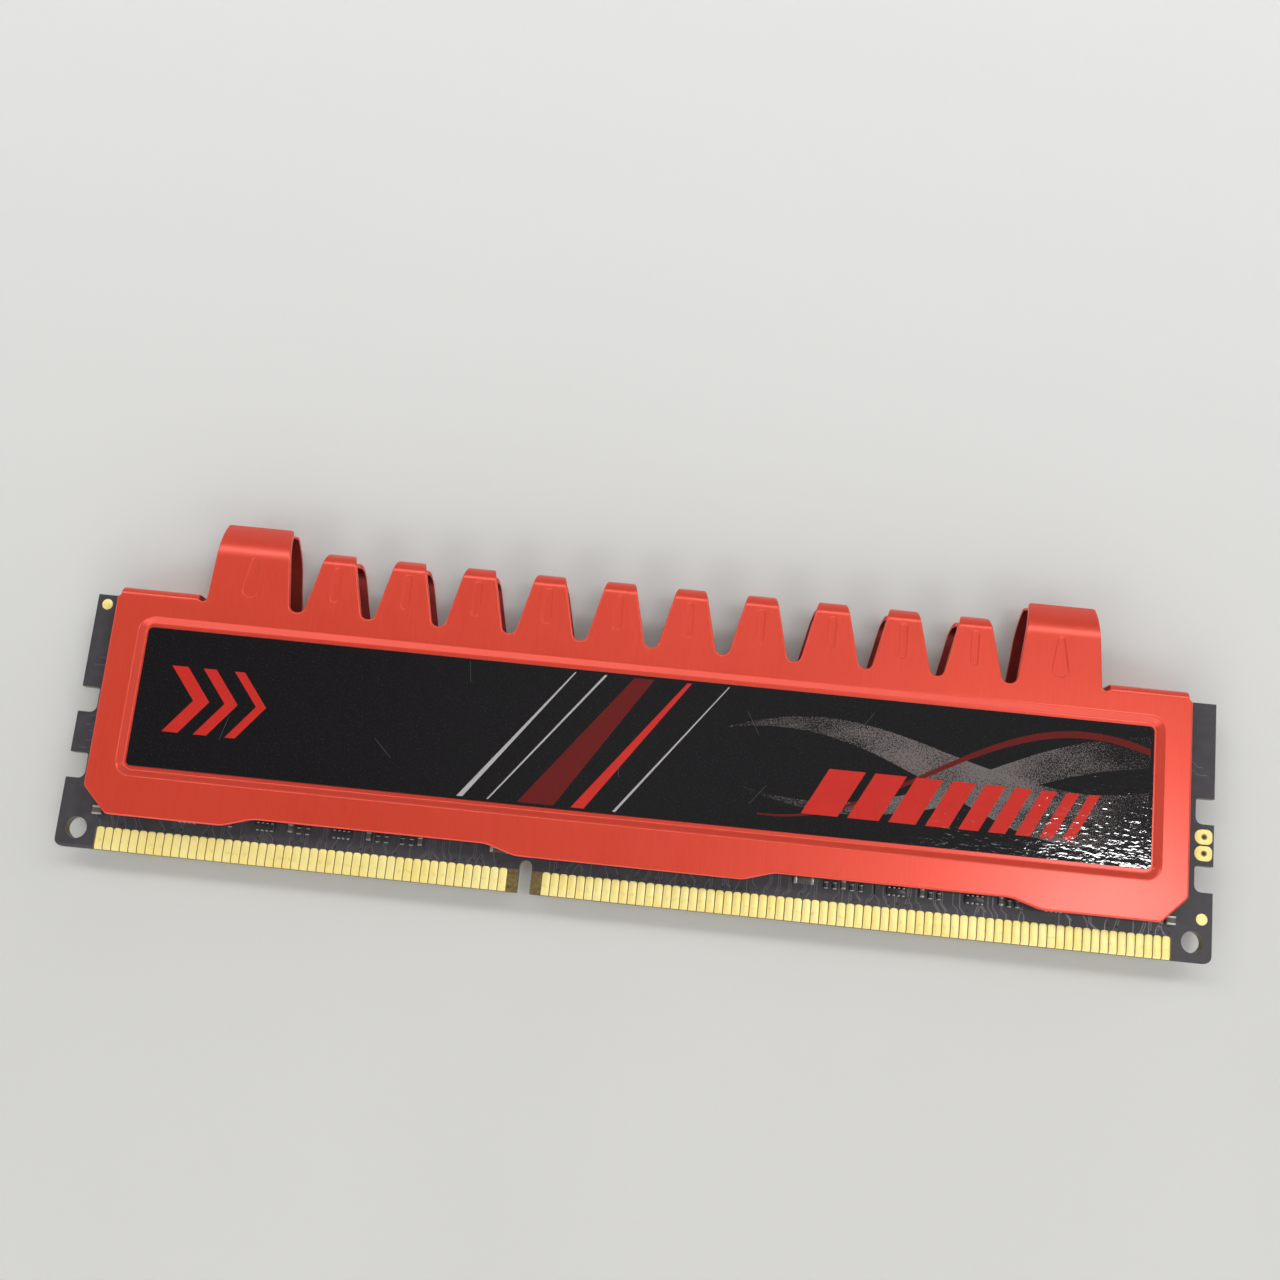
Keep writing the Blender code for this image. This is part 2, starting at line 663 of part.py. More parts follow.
def add_sunk_area(bm, outline_at, profile, step, depth):
    """Rings from a rim down to a floor. outline_at(inset) gives each ring. Returns the rim."""
    rings = []
    for across, down in profile:
        outline = outline_at(across * step)
        rings.append([bm.verts.new((x, y, -down * depth)) for x, y in outline])
    for upper, lower in zip(rings, rings[1:]):
        count = len(upper)
        for index in range(count):
            after = (index + 1) % count
            bm.faces.new((upper[index], upper[after], lower[after], lower[index]))
    bm.faces.new(rings[-1])
    return rings[0]


def add_mark(bm, outline, middle):
    """One pressed mark of a fin. Returns its rim."""
    profile = ((0.0, 0.0), (1.0, 1.0))
    return add_sunk_area(bm, lambda inset: outline(middle, inset), profile, MARK_STEP, MARK_DEPTH)


def panel_outline(inset):
    """Outline of the sunk panel, drawn in by the given amount."""
    return rounded_rectangle(0.0, PANEL_MIDDLE, PANEL_LENGTH - 2 * inset,
                             PANEL_TOP - PANEL_BOTTOM - 2 * inset, PANEL_RADIUS - inset)


def bend_of(x):
    """Start, radius, angle and row count of the bend that the sheet follows at x."""
    if abs(x) > RELIEF_MIDDLE_X:
        return FLANGE_BEND_START, FLANGE_BEND_RADIUS, math.pi / 2
    if abs(x) > TALL_SLOT_X:
        return TALL_ROLL_START, TALL_ROLL_RADIUS, TALL_ROLL_ANGLE
    return SHORT_ROLL_START, SHORT_ROLL_RADIUS, SHORT_ROLL_ANGLE


def cut_bend_rows(bm, low_x, high_x):
    """Cut the flat sheet along the rows of a bend, between two distances from the middle."""
    start, radius, angle = bend_of((low_x + high_x) / 2)
    for step in range(ROLL_STEPS + 1):
        row = start + radius * angle * step / ROLL_STEPS
        zone = [face for face in bm.faces if low_x < abs(face.calc_center_median().x) < high_x]
        edges = {edge for face in zone for edge in face.edges}
        verts = {vert for face in zone for vert in face.verts}
        bmesh.ops.bisect_plane(bm, geom=list(verts) + list(edges) + zone, dist=1e-7,
                               plane_co=(0.0, row, 0.0), plane_no=(0.0, 1.0, 0.0))


def bend_point(x, y, inward):
    """Board-frame Y and height from the board's middle of a point of the bent sheet."""
    start, radius, angle = bend_of(x)
    if y <= start:
        return y, FACE_FROM_MIDDLE - inward
    turned = min((y - start) / radius, angle)
    beyond = max(0.0, y - start - radius * angle)
    reach = radius - inward
    bent_y = start + reach * math.sin(turned) + beyond * math.cos(turned)
    height = FACE_FROM_MIDDLE - radius + reach * math.cos(turned) - beyond * math.sin(turned)
    return bent_y, height


def build_heat_spreader(name, side, material):
    """One stamped spreader: sunk panel, rolled fins, and flanges folded over the board's top edge."""
    bm = bmesh.new()
    rim = add_loop(bm, spreader_outline())
    holes = [add_sunk_area(bm, panel_outline, STEP_PROFILE, PANEL_STEP, PANEL_DEPTH)]
    for number in range(SHORT_FIN_COUNT):
        middle = (number - (SHORT_FIN_COUNT - 1) / 2) * SHORT_FIN_PITCH
        holes.append(add_mark(bm, short_mark, middle))
    for middle in (-TALL_FIN_X, TALL_FIN_X):
        holes.append(add_mark(bm, tall_mark, middle))
    fill_between(bm, [rim] + holes)
    cut_bend_rows(bm, RELIEF_MIDDLE_X, BOARD_LENGTH)
    cut_bend_rows(bm, TALL_SLOT_X, RELIEF_MIDDLE_X)
    cut_bend_rows(bm, 0.0, TALL_SLOT_X)

    def place(x, y, z, inner):
        inward = -z + (SHEET if inner else 0.0)
        bent_y, height = bend_point(x, y, inward)
        return x + SPREADER_SHIFT, board_y(bent_y), BOARD_MIDDLE_Z + side * height

    thicken(bm, place)
    if side < 0:
        bmesh.ops.reverse_faces(bm, faces=bm.faces[:])
    add_object(name, bm, material, math.radians(25.0))


def build_labels(material):
    """Thin glossy film in the sunk panel of each spreader."""
    length = PANEL_LENGTH - 2 * (PANEL_STEP + LABEL_END_MARGIN)
    width = PANEL_TOP - PANEL_BOTTOM - 2 * (PANEL_STEP + LABEL_SIDE_MARGIN)
    middle_y = board_y(PANEL_MIDDLE)
    outline = rounded_rectangle(SPREADER_SHIFT, middle_y, length, width, LABEL_RADIUS)
    low = PANEL_OUTER + SEAT_GAP
    for side, side_name in ((1, "front"), (-1, "back")):
        bm = side_prism(outline, side, low, low + LABEL_THICKNESS)
        add_object(f"label_{side_name}", bm, material)


def resistor_array_outline(x, y):
    """Body of a resistor array with its terminals standing out on both long sides."""
    half_width = ARRAY_WIDTH / 2
    tip = half_width + ARRAY_TERMINAL_REACH
    pitch = ARRAY_LENGTH / ARRAY_TERMINALS
    lower = [(-ARRAY_LENGTH / 2, -half_width)]
    for number in range(ARRAY_TERMINALS):
        middle = (number - (ARRAY_TERMINALS - 1) / 2) * pitch
        left = middle - ARRAY_TERMINAL_WIDTH / 2
        right = middle + ARRAY_TERMINAL_WIDTH / 2
        lower += [(left, -half_width), (left, -tip), (right, -tip), (right, -half_width)]
    lower.append((ARRAY_LENGTH / 2, -half_width))
    upper = [(-px, -py) for px, py in lower]
    return [(x + px, y + py) for px, py in lower + upper]


def two_ended_bmesh(x, y, size, lengthwise):
    """A resistor or capacitor: a body between two slightly thicker metal ends."""
    width, length, height = size
    low = side_z(1, SEAT_GAP)
    high = low + height
    end = length * TERMINAL_SHARE
    stations = ((-length / 2, 0.0), (-length / 2 + end, 0.0), (-length / 2 + end, TERMINAL_LIP),
                (length / 2 - end, TERMINAL_LIP), (length / 2 - end, 0.0), (length / 2, 0.0))
    bm = bmesh.new()
    rings = []
    for along, inset in stations:
        half = width / 2 - inset
        section = ((-half, low + inset), (half, low + inset), (half, high - inset), (-half, high - inset))
        if lengthwise:
            rings.append([bm.verts.new((x + along, y + across, z)) for across, z in section])
        else:
            rings.append([bm.verts.new((x - across, y + along, z)) for across, z in section])
    stack_rings(bm, rings, False)
    return bm


def row_places(row, inward):
    """Kind and X place of each part of a row. inward is 1 from the left side, -1 from the right side."""
    lengths = {
        "array": ARRAY_LENGTH,
        "resistor": RESISTOR_WIDTH,
        "capacitor": CAPACITOR_WIDTH,
        "wide": WIDE_CAPACITOR_LENGTH,
    }
    places = []
    reached = 0.0
    for kind, free in row:
        places.append((kind, inward * (BOARD_LEFT + reached + free + lengths[kind] / 2)))
        reached += free + lengths[kind]
    return places


def small_part_bmesh(kind, x):
    """The solid of one part of a row."""
    if kind == "array":
        outline = resistor_array_outline(x, board_y(ARRAY_Y))
        return side_prism(outline, 1, SEAT_GAP, SEAT_GAP + ARRAY_HEIGHT)
    if kind == "resistor":
        size = (RESISTOR_WIDTH, RESISTOR_LENGTH, RESISTOR_HEIGHT)
        return two_ended_bmesh(x, board_y(RESISTOR_Y), size, False)
    if kind == "capacitor":
        size = (CAPACITOR_WIDTH, CAPACITOR_LENGTH, CAPACITOR_HEIGHT)
        return two_ended_bmesh(x, board_y(CAPACITOR_Y), size, False)
    size = (WIDE_CAPACITOR_WIDTH, WIDE_CAPACITOR_LENGTH, WIDE_CAPACITOR_HEIGHT)
    return two_ended_bmesh(x, board_y(WIDE_CAPACITOR_Y), size, True)


def build_small_parts(resistor_material, capacitor_material):
    """Resistors, resistor arrays and capacitors, each row from its end of the board inwards."""
    names = {
        "array": "resistor_array",
        "resistor": "resistor",
        "capacitor": "capacitor",
        "wide": "wide_capacitor",
    }
    made = {kind: 0 for kind in names}
    for kind, x in row_places(LEFT_ROW, 1) + row_places(RIGHT_ROW, -1):
        made[kind] += 1
        material = resistor_material if kind in ("array", "resistor") else capacitor_material
        add_object(f"{names[kind]}_{made[kind]}", small_part_bmesh(kind, x), material)
    size = (END_CAPACITOR_WIDTH, END_CAPACITOR_LENGTH, END_CAPACITOR_HEIGHT)
    ends = {"left": BOARD_LEFT + END_CAPACITOR_LEFT_SIDE, "right": -BOARD_LEFT - END_CAPACITOR_RIGHT_SIDE}
    for side_name, x in ends.items():
        bm = two_ended_bmesh(x, board_y(END_CAPACITOR_Y), size, False)
        add_object(f"end_capacitor_{side_name}", bm, capacitor_material)


def main():
    clear_scene()
    red = make_material("red_anodised_aluminium", (0.62, 0.06, 0.035), 0.35, 1.0)
    mask = make_material("black_solder_mask", (0.035, 0.033, 0.036), 0.4, 0.0)
    gold = make_material("gold_plating", (0.85, 0.66, 0.28), 0.3, 1.0)
    film = make_material("black_label_film", (0.012, 0.01, 0.012), 0.15, 0.0)
    mould = make_material("chip_mould", (0.03, 0.03, 0.032), 0.6, 0.0)
    tape = make_material("thermal_tape", (0.55, 0.56, 0.58), 0.8, 0.0)
    resistor = make_material("resistor_ceramic", (0.08, 0.08, 0.09), 0.4, 0.0)
    capacitor = make_material("capacitor_ceramic", (0.35, 0.26, 0.18), 0.5, 0.0)
    build_circuit_board(mask)
    build_contacts(gold)
    build_chips(mould, mould)
    build_thermal_pads(tape)
    build_heat_spreader("heat_spreader_front", 1, red)
    build_heat_spreader("heat_spreader_back", -1, red)
    build_labels(film)
    build_small_parts(resistor, capacitor)


main()
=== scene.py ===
import math
import random

import bmesh
import bpy
from mathutils import Matrix, Vector

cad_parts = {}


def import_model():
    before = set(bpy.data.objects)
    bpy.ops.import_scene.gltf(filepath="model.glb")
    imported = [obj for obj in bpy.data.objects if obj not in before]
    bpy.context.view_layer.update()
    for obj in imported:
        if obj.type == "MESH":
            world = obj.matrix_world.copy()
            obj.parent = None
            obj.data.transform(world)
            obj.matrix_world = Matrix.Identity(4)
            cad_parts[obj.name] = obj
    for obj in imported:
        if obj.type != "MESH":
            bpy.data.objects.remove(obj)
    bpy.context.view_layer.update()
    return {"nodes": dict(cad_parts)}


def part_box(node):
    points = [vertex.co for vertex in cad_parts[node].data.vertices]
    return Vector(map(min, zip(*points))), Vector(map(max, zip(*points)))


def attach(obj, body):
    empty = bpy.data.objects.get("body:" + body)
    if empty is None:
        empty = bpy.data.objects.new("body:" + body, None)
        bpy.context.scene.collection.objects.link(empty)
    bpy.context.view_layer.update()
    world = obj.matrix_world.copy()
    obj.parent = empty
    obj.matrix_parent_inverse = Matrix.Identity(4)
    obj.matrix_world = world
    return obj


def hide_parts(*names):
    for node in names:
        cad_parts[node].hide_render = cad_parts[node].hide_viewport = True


MM = 0.001
SIDES = ((1, "front"), (-1, "back"))

# Sizes shared with the solids, in millimetres. Heights count from the contact edge, Z from the resting face, and X
# from the board's left side, or from the spreader's middle for what is on a spreader.
BOARD_LENGTH = 133.35
OVERALL_HEIGHT = 40.0
BOARD_TOP_Z = 3.97
MIDDLE_Z = 3.335
CONTACT_ROWS = {"left": (5.175, 48), "right": (57.175, 72)}
CONTACT_HALF = 0.445
CONTACT_LOW = 0.06
CONTACT_HIGH = 2.68
CONTACT_RADIUS = 0.3
BEVEL_HIGH = 0.35
BEVEL_DEPTH = 0.25
BARE_HIGH = 2.66
BARE_LEFT = 4.55
BARE_RIGHT = 128.8
SHEET = 0.6
SPREADER_SHIFT = -0.2
SPREADER_HALF = 63.175
FACE_FROM_MIDDLE = 3.335
PANEL_DEPTH = 0.65
PANEL_HALF = 60.1
PANEL_BOTTOM = 8.55
PANEL_TOP = 27.55
PANEL_STEP = 0.9
PANEL_RADIUS = 1.9
LOW_EDGE = ((13.05, 4.05, 4.0), (16.55, 5.1, 4.0), (43.25, 5.1, 4.0), (46.75, 4.05, 4.0))
CORNER_CUT = ((-3.0, 4.05, 0.8), (0.0, 7.05, 0.8))
LABEL_HALF = 59.0
LABEL_BOTTOM = 9.85
LABEL_TOP = 26.25
LABEL_Z = 6.15
SLOT_BOTTOM = 29.65
SLOT_RADIUS = 0.85
FIN_TIP_RADIUS = 0.4
RELIEF_BOTTOM = 29.9
RELIEF_WIDTH = 0.9
RELIEF_RADIUS = RELIEF_WIDTH * 0.45
FLANGE_OUTER_X = 62.795
FLANGE_INNER_X = 53.57
FLANGE_BEND_START = 29.85
FLANGE_BEND_RADIUS = 0.9
FLANGE_TIP_RADIUS = 0.3
FLANGE_HALF_GAP = 0.15
SHOULDER_DROP = 0.45
RELIEF_MIDDLE_X = 53.12
TALL_FIN_X = 47.695
TALL_FIN_BASE = 9.95
TALL_FIN_INNER_LEAN = 1.475
TALL_FIN_OUTER_LEAN = 0.6
TALL_ROLL_RADIUS = 5.8
TALL_ROLL_ANGLE = math.radians(49.3)
TALL_ROLL_START = OVERALL_HEIGHT - TALL_ROLL_RADIUS * math.sin(TALL_ROLL_ANGLE)
TALL_SLOT_X = 41.935
SHORT_FIN_COUNT = 10
SHORT_FIN_PITCH = 8.37
SHORT_FIN_BASE = 6.97
SHORT_FIN_LEAN = 1.415
SHORT_FIN_TIP_LEAN = 1.985
SHORT_ROLL_RADIUS = 1.65
SHORT_ROLL_ANGLE = math.radians(90.0)
SHORT_ROLL_START = 35.7
SHORT_LIP = 0.3
SHORT_MARK = (0.52, 0.52, 31.7, 35.0)
TALL_MARK = (1.02, 0.46, 31.8, 35.3)
MARK_STEP = 0.16
MARK_DEPTH = 0.11
EDGE_RADIUS = 0.2

# Sizes of the looks, in millimetres
HOLD = 0.05
BEND_LEAD = 0.15
CONTACT_RISE = 0.045
FILM = 0.08
TRACK_WIDTH = 0.11
TRACK_RISE = 0.014
PAD_RISE = 0.03
PRINT_LIFT = 0.001

# Places in the list of inks
RED, DARK_RED, SILVER, GRAIN, SCRATCH = range(5)

# Lamps: name, place, aim and size in metres, and watts
LAMPS = (
    ("window", (0.365, -0.100, 0.955), (0.052, -0.021, 0.0), (0.20, 0.34), 0.9),
    ("key", (0.354, 0.030, 0.948), (0.055, -0.012, 0.0), (0.03, 0.09), 0.6),
    ("front", (0.0, -0.55, 0.22), (0.0, 0.01, 0.0), (0.6, 0.3), 0.9),
)
ROOM_LIGHT = 0.615


def place(x, y, z):
    """Frame position in metres of a point given in mm from the board's left side and contact edge."""
    return ((x - BOARD_LENGTH / 2) * MM, (y - OVERALL_HEIGHT / 2) * MM, z * MM)


# ---------------------------------------------------------------- materials

def node(tree, kind, values=None, **settings):
    """Adds a shader node. values maps inputs to numbers or to the sockets that feed them."""
    made = tree.nodes.new("ShaderNode" + kind)
    for name, value in settings.items():
        setattr(made, name, value)
    for name, value in (values or {}).items():
        if isinstance(value, bpy.types.NodeSocket):
            tree.links.new(value, made.inputs[name])
        else:
            made.inputs[name].default_value = value
    return made


def sums(tree, operation, first, second=0.0):
    """A Math node's result."""
    return node(tree, "Math", {0: first, 1: second}, operation=operation).outputs[0]


def millimetres(tree):
    """Object coordinates in millimetres."""
    coordinates = node(tree, "TexCoord").outputs["Object"]
    return node(tree, "VectorMath", {0: coordinates, 3: 1000.0}, operation="SCALE").outputs[0]


def stretched(tree, vector, scale):
    """The vector with each part scaled on its own."""
    return node(tree, "VectorMath", {0: vector, 1: scale}, operation="MULTIPLY").outputs[0]


def noise(tree, vector, scale, detail=2.0, roughness=0.5):
    """Noise between 0 and 1."""
    values = {"Vector": vector, "Scale": scale, "Detail": detail, "Roughness": roughness}
    return node(tree, "TexNoise", values).outputs["Fac"]


def ranged(tree, value, from_low, from_high, to_low, to_high):
    """The value moved from one range to another, and kept inside it."""
    values = {"Value": value, "From Min": from_low, "From Max": from_high}
    values.update({"To Min": to_low, "To Max": to_high})
    return node(tree, "MapRange", values, clamp=True).outputs[0]


def mixed(tree, share, first, second):
    """Colour between two colours or sockets."""
    made = node(tree, "Mix", data_type="RGBA")
    for index, value in ((0, share), (6, first), (7, second)):
        if isinstance(value, bpy.types.NodeSocket):
            tree.links.new(value, made.inputs[index])
        elif index == 0:
            made.inputs[0].default_value = value
        else:
            made.inputs[index].default_value = (*value, 1.0)
    return made.outputs[2]


def bumped(tree, height, strength, distance, normal=None):
    """A normal bent by a height, on top of another one if given."""
    values = {"Height": height, "Strength": strength, "Distance": distance}
    if normal is not None:
        values["Normal"] = normal
    return node(tree, "Bump", values).outputs[0]


def material(name, **values):
    """A material and its shader tree, with plain values set on the shader."""
    made = bpy.data.materials.new(name)
    made.use_nodes = True
    shader = made.node_tree.nodes["Principled BSDF"]
    for key, value in values.items():
        socket = shader.inputs[key.replace("_", " ")]
        socket.default_value = (*value, 1.0) if isinstance(value, tuple) and len(value) == 3 else value
    return made, made.node_tree, shader


def feed(tree, shader, **sockets):
    """Links sockets into the shader's inputs of those names."""
    for key, socket in sockets.items():
        tree.links.new(socket, shader.inputs[key.replace("_", " ")])


def red_metal():
    """Anodised aluminium, brushed across the module's length."""
    made, tree, shader = material("red_anodised", Metallic=0.35, Specular_IOR_Level=0.3, Coat_Weight=0.4,
                                  Coat_Roughness=0.2)
    mm = millimetres(tree)
    fine = noise(tree, stretched(tree, mm, (7.0, 0.45, 7.0)), 1.0, 3.0, 0.6)
    broad = noise(tree, stretched(tree, mm, (1.1, 0.1, 1.1)), 1.0, 2.0)
    smudge = noise(tree, mm, 0.09, 3.0)
    speck = noise(tree, mm, 4.0, 2.0)
    tint = mixed(tree, ranged(tree, fine, 0.3, 0.7, 0.0, 1.0), (0.69, 0.056, 0.027), (0.73, 0.064, 0.032))
    tint = mixed(tree, ranged(tree, broad, 0.35, 0.75, 0.0, 0.3), tint, (0.745, 0.072, 0.038))
    rough = sums(tree, "ADD", ranged(tree, smudge, 0.3, 0.7, 0.29, 0.34),
                 ranged(tree, fine, 0.2, 0.8, -0.02, 0.03))
    grain = sums(tree, "ADD", fine, sums(tree, "MULTIPLY", speck, 0.6))
    feed(tree, shader, Base_Color=tint, Roughness=rough, Normal=bumped(tree, grain, 0.16, 0.00002))
    return made


def label_bump(tree, mm):
    """Waviness along the film and a crinkled grain."""
    waves = noise(tree, stretched(tree, mm, (0.5, 1.5, 1.0)), 1.0, 1.0)
    crinkle = noise(tree, stretched(tree, mm, (0.9, 1.9, 1.0)), 1.0, 2.0, 0.6)
    normal = bumped(tree, waves, 0.12, 0.0001)
    return bumped(tree, crinkle, 0.30, 0.00005, normal)


def film(name, colour, second=None, share=None, roughness=0.05):
    """Printed glossy film. share(tree, mm) gives how much of the second colour shows."""
    made, tree, shader = material(name, Base_Color=colour, Roughness=roughness, Specular_IOR_Level=0.4)
    mm = millimetres(tree)
    cloud = ranged(tree, noise(tree, mm, 0.5, 3.0), 0.3, 0.7, 0.0, 0.25)
    darker = tuple(part * 0.75 for part in colour)
    tint = mixed(tree, cloud, colour, darker)
    if second is not None:
        tint = mixed(tree, share(tree, mm), tint, second)
    dust = ranged(tree, noise(tree, mm, 6.0, 2.0), 0.62, 0.75, 0.0, 0.05)
    tint = mixed(tree, dust, tint, (0.5, 0.5, 0.5))
    rough = ranged(tree, noise(tree, mm, 0.2, 3.0), 0.3, 0.7, roughness * 0.8, roughness * 1.3)
    feed(tree, shader, Base_Color=tint, Roughness=rough, Normal=label_bump(tree, mm))
    return made


def grain_fade(low_x, high_x):
    """Fine printed grain that thickens towards high_x, as a share for film()."""
    def share(tree, mm):
        grain = noise(tree, stretched(tree, mm, (9.0, 7.0, 1.0)), 1.0, 2.0, 0.7)
        along = node(tree, "SeparateXYZ", {0: mm}).outputs[0]
        level = ranged(tree, along, low_x, high_x, 0.66, 0.40)
        level = sums(tree, "ADD", level, ranged(tree, along, high_x, 57.0, 0.0, 0.22))
        cloud = noise(tree, stretched(tree, mm, (0.12, 0.3, 1.0)), 1.0, 2.0)
        cloud = ranged(tree, cloud, 0.35, 0.65, -0.05, 0.05)
        edge = sums(tree, "SUBTRACT", grain, sums(tree, "ADD", level, cloud))
        return ranged(tree, edge, -0.04, 0.06, 0.0, 0.95)
    return share


def solder_mask():
    """Black mask on laminate: bare laminate between the contacts and on the cut edges."""
    made, tree, shader = material("solder_mask_black", Specular_IOR_Level=0.2)
    mm = millimetres(tree)
    split = node(tree, "SeparateXYZ", {0: mm})
    x, y = split.outputs[0], split.outputs[1]
    cloud = noise(tree, mm, 0.8, 3.0)
    weave = node(tree, "TexBrick", {"Vector": mm, "Scale": 1.6, "Mortar Size": 0.06, "Mortar Smooth": 1.0})
    mask = mixed(tree, ranged(tree, cloud, 0.3, 0.7, 0.0, 1.0), (0.050, 0.046, 0.051), (0.064, 0.059, 0.065))
    laminate = mixed(tree, ranged(tree, noise(tree, mm, 2.5, 3.0), 0.3, 0.7, 0.0, 1.0), (0.10, 0.068, 0.022),
                     (0.20, 0.145, 0.055))
    low = sums(tree, "LESS_THAN", y, BARE_HIGH - OVERALL_HEIGHT / 2)
    inside = sums(tree, "MULTIPLY", sums(tree, "GREATER_THAN", x, BARE_LEFT - BOARD_LENGTH / 2),
                  sums(tree, "LESS_THAN", x, BARE_RIGHT - BOARD_LENGTH / 2))
    bare = sums(tree, "MULTIPLY", low, inside)
    facing = node(tree, "SeparateXYZ", {0: node(tree, "TexCoord").outputs["Normal"]}).outputs[2]
    side = sums(tree, "LESS_THAN", sums(tree, "ABSOLUTE", facing), 0.45)
    tint = mixed(tree, bare, mask, laminate)
    tint = mixed(tree, sums(tree, "MULTIPLY", side, 0.85), tint, (0.20, 0.165, 0.085))
    rough = sums(tree, "ADD", ranged(tree, cloud, 0.3, 0.7, 0.34, 0.42), sums(tree, "MULTIPLY", bare, 0.2))
    height = sums(tree, "ADD", cloud, sums(tree, "MULTIPLY", weave.outputs["Fac"], 0.3))
    feed(tree, shader, Base_Color=tint, Roughness=rough, Normal=bumped(tree, height, 0.25, 0.00002))
    return made


def gold():
    """Satin gold plating with a faint wipe mark low on each contact."""
    made, tree, shader = material("gold_plating", Metallic=0.3, Specular_IOR_Level=0.5)
    mm = millimetres(tree)
    wipe = noise(tree, stretched(tree, mm, (4.0, 0.8, 4.0)), 1.0, 3.0)
    cloud = noise(tree, mm, 0.22, 2.0)
    tint = mixed(tree, ranged(tree, wipe, 0.3, 0.7, 0.0, 1.0), (1.0, 0.82, 0.29), (0.96, 0.75, 0.23))
    tint = mixed(tree, ranged(tree, cloud, 0.35, 0.65, 0.0, 0.6), tint, (1.0, 0.89, 0.40))
    along = node(tree, "SeparateXYZ", {0: mm}).outputs[1]
    wipe_middle = 1.15 - OVERALL_HEIGHT / 2
    from_wipe = sums(tree, "ABSOLUTE", sums(tree, "SUBTRACT", along, wipe_middle))
    mark = ranged(tree, from_wipe, 0.0, 0.35, 1.0, 0.0)
    patch = ranged(tree, noise(tree, mm, 1.9, 1.0), 0.52, 0.62, 0.0, 0.2)
    tint = mixed(tree, sums(tree, "MULTIPLY", mark, patch), tint, (0.42, 0.31, 0.13))
    rough = ranged(tree, wipe, 0.3, 0.7, 0.36, 0.46)
    feed(tree, shader, Base_Color=tint, Roughness=rough, Normal=bumped(tree, wipe, 0.06, 0.00002))
    return made


def grainy(name, dark, light, roughness, scale=3.0, bump=0.3, metallic=0.0):
    """A plain moulded, ceramic or metal surface with fine grain."""
    made, tree, shader = material(name, Metallic=metallic)
    mm = millimetres(tree)
    grain = noise(tree, mm, scale, 3.0, 0.6)
    share = ranged(tree, grain, 0.3, 0.7, 0.0, 1.0)
    rough = ranged(tree, noise(tree, mm, scale * 0.3, 2.0), 0.3, 0.7, roughness * 0.85, roughness * 1.15)
    feed(tree, shader, Base_Color=mixed(tree, share, dark, light), Roughness=rough,
         Normal=bumped(tree, grain, bump, 0.00002))
    return made


def table_top():
    """Pale matte table with a very faint sheen, its colour painted paler towards the far side as painted light."""
    made, tree, shader = material("pale_table", Roughness=0.55, Specular_IOR_Level=0.3)
    mm = millimetres(tree)
    cloud = ranged(tree, noise(tree, mm, 0.02, 2.0), 0.3, 0.7, 0.0, 1.0)
    tint = mixed(tree, cloud, (0.60, 0.597, 0.573), (0.62, 0.617, 0.593))
    # Painted light: the table grows paler towards +Y, standing in for the brighter light falling there.
    far = ranged(tree, node(tree, "SeparateXYZ", {0: mm}).outputs[1], -20.0, 110.0, 0.0, 1.0)
    feed(tree, shader, Base_Color=mixed(tree, far, tint, (0.765, 0.765, 0.752)))
    return made


# ---------------------------------------------------------------- shapes

def add_piece(name, bm, materials, smooth_angle=None):
    """Finishes a bmesh as a piece of the module."""
    bm.normal_update()
    mesh = bpy.data.meshes.new(name)
    bm.to_mesh(mesh)
    bm.free()
    for made in materials:
        mesh.materials.append(made)
    if smooth_angle is not None:
        mesh.shade_smooth()
        mesh.set_sharp_from_angle(angle=math.radians(smooth_angle))
    piece = bpy.data.objects.new(name, mesh)
    bpy.context.scene.collection.objects.link(piece)
    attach(piece, "root")
    return piece


def fillet(corners, steps):
    """Round the corners of a closed outline. Each corner is (x, y, radius)."""
    points = []
    count = len(corners)
    for index, (x, y, radius) in enumerate(corners):
        if radius <= 0.0:
            points.append((x, y))
            continue
        here = Vector((x, y))
        back = Vector(corners[index - 1][:2]) - here
        ahead = Vector(corners[(index + 1) % count][:2]) - here
        reach_limit = 0.49 * min(back.length, ahead.length)
        back.normalize()
        ahead.normalize()
        opening = math.acos(max(-1.0, min(1.0, back.dot(ahead))))
        reach = min(radius / math.tan(opening / 2), reach_limit)
        fitted = reach * math.tan(opening / 2)
        centre = here + (back + ahead).normalized() * fitted / math.sin(opening / 2)
        first = here + back * reach - centre
        last = here + ahead * reach - centre
        start = math.atan2(first.y, first.x)
        turn = (math.atan2(last.y, last.x) - start + math.pi) % (2 * math.pi) - math.pi
        for step in range(steps + 1):
            angle = start + turn * step / steps
            points.append((centre.x + fitted * math.cos(angle), centre.y + fitted * math.sin(angle)))
    return points


def inset(points, distance):
    """The outline moved inwards by a small distance."""
    moved = []
    count = len(points)
    for index in range(count):
        here = Vector(points[index])
        back = (here - Vector(points[index - 1])).normalized()
        ahead = (Vector(points[(index + 1) % count]) - here).normalized()
        normal = Vector((-back.y - ahead.y, back.x + ahead.x)).normalized()
        stretch = max(0.6, normal.dot(Vector((-back.y, back.x))))
        moved.append(tuple(here + normal * distance / stretch))
    return moved


def ring(bm, points, z):
    """Vertices over an outline."""
    return [bm.verts.new((x, y, z)) for x, y in points]


def bridge(bm, outer, inner):
    """Quads between two rings of as many points, facing up where inner lies inside outer."""
    count = len(outer)
    for index in range(count):
        after = (index + 1) % count
        bm.faces.new((outer[index], outer[after], inner[after], inner[index]))


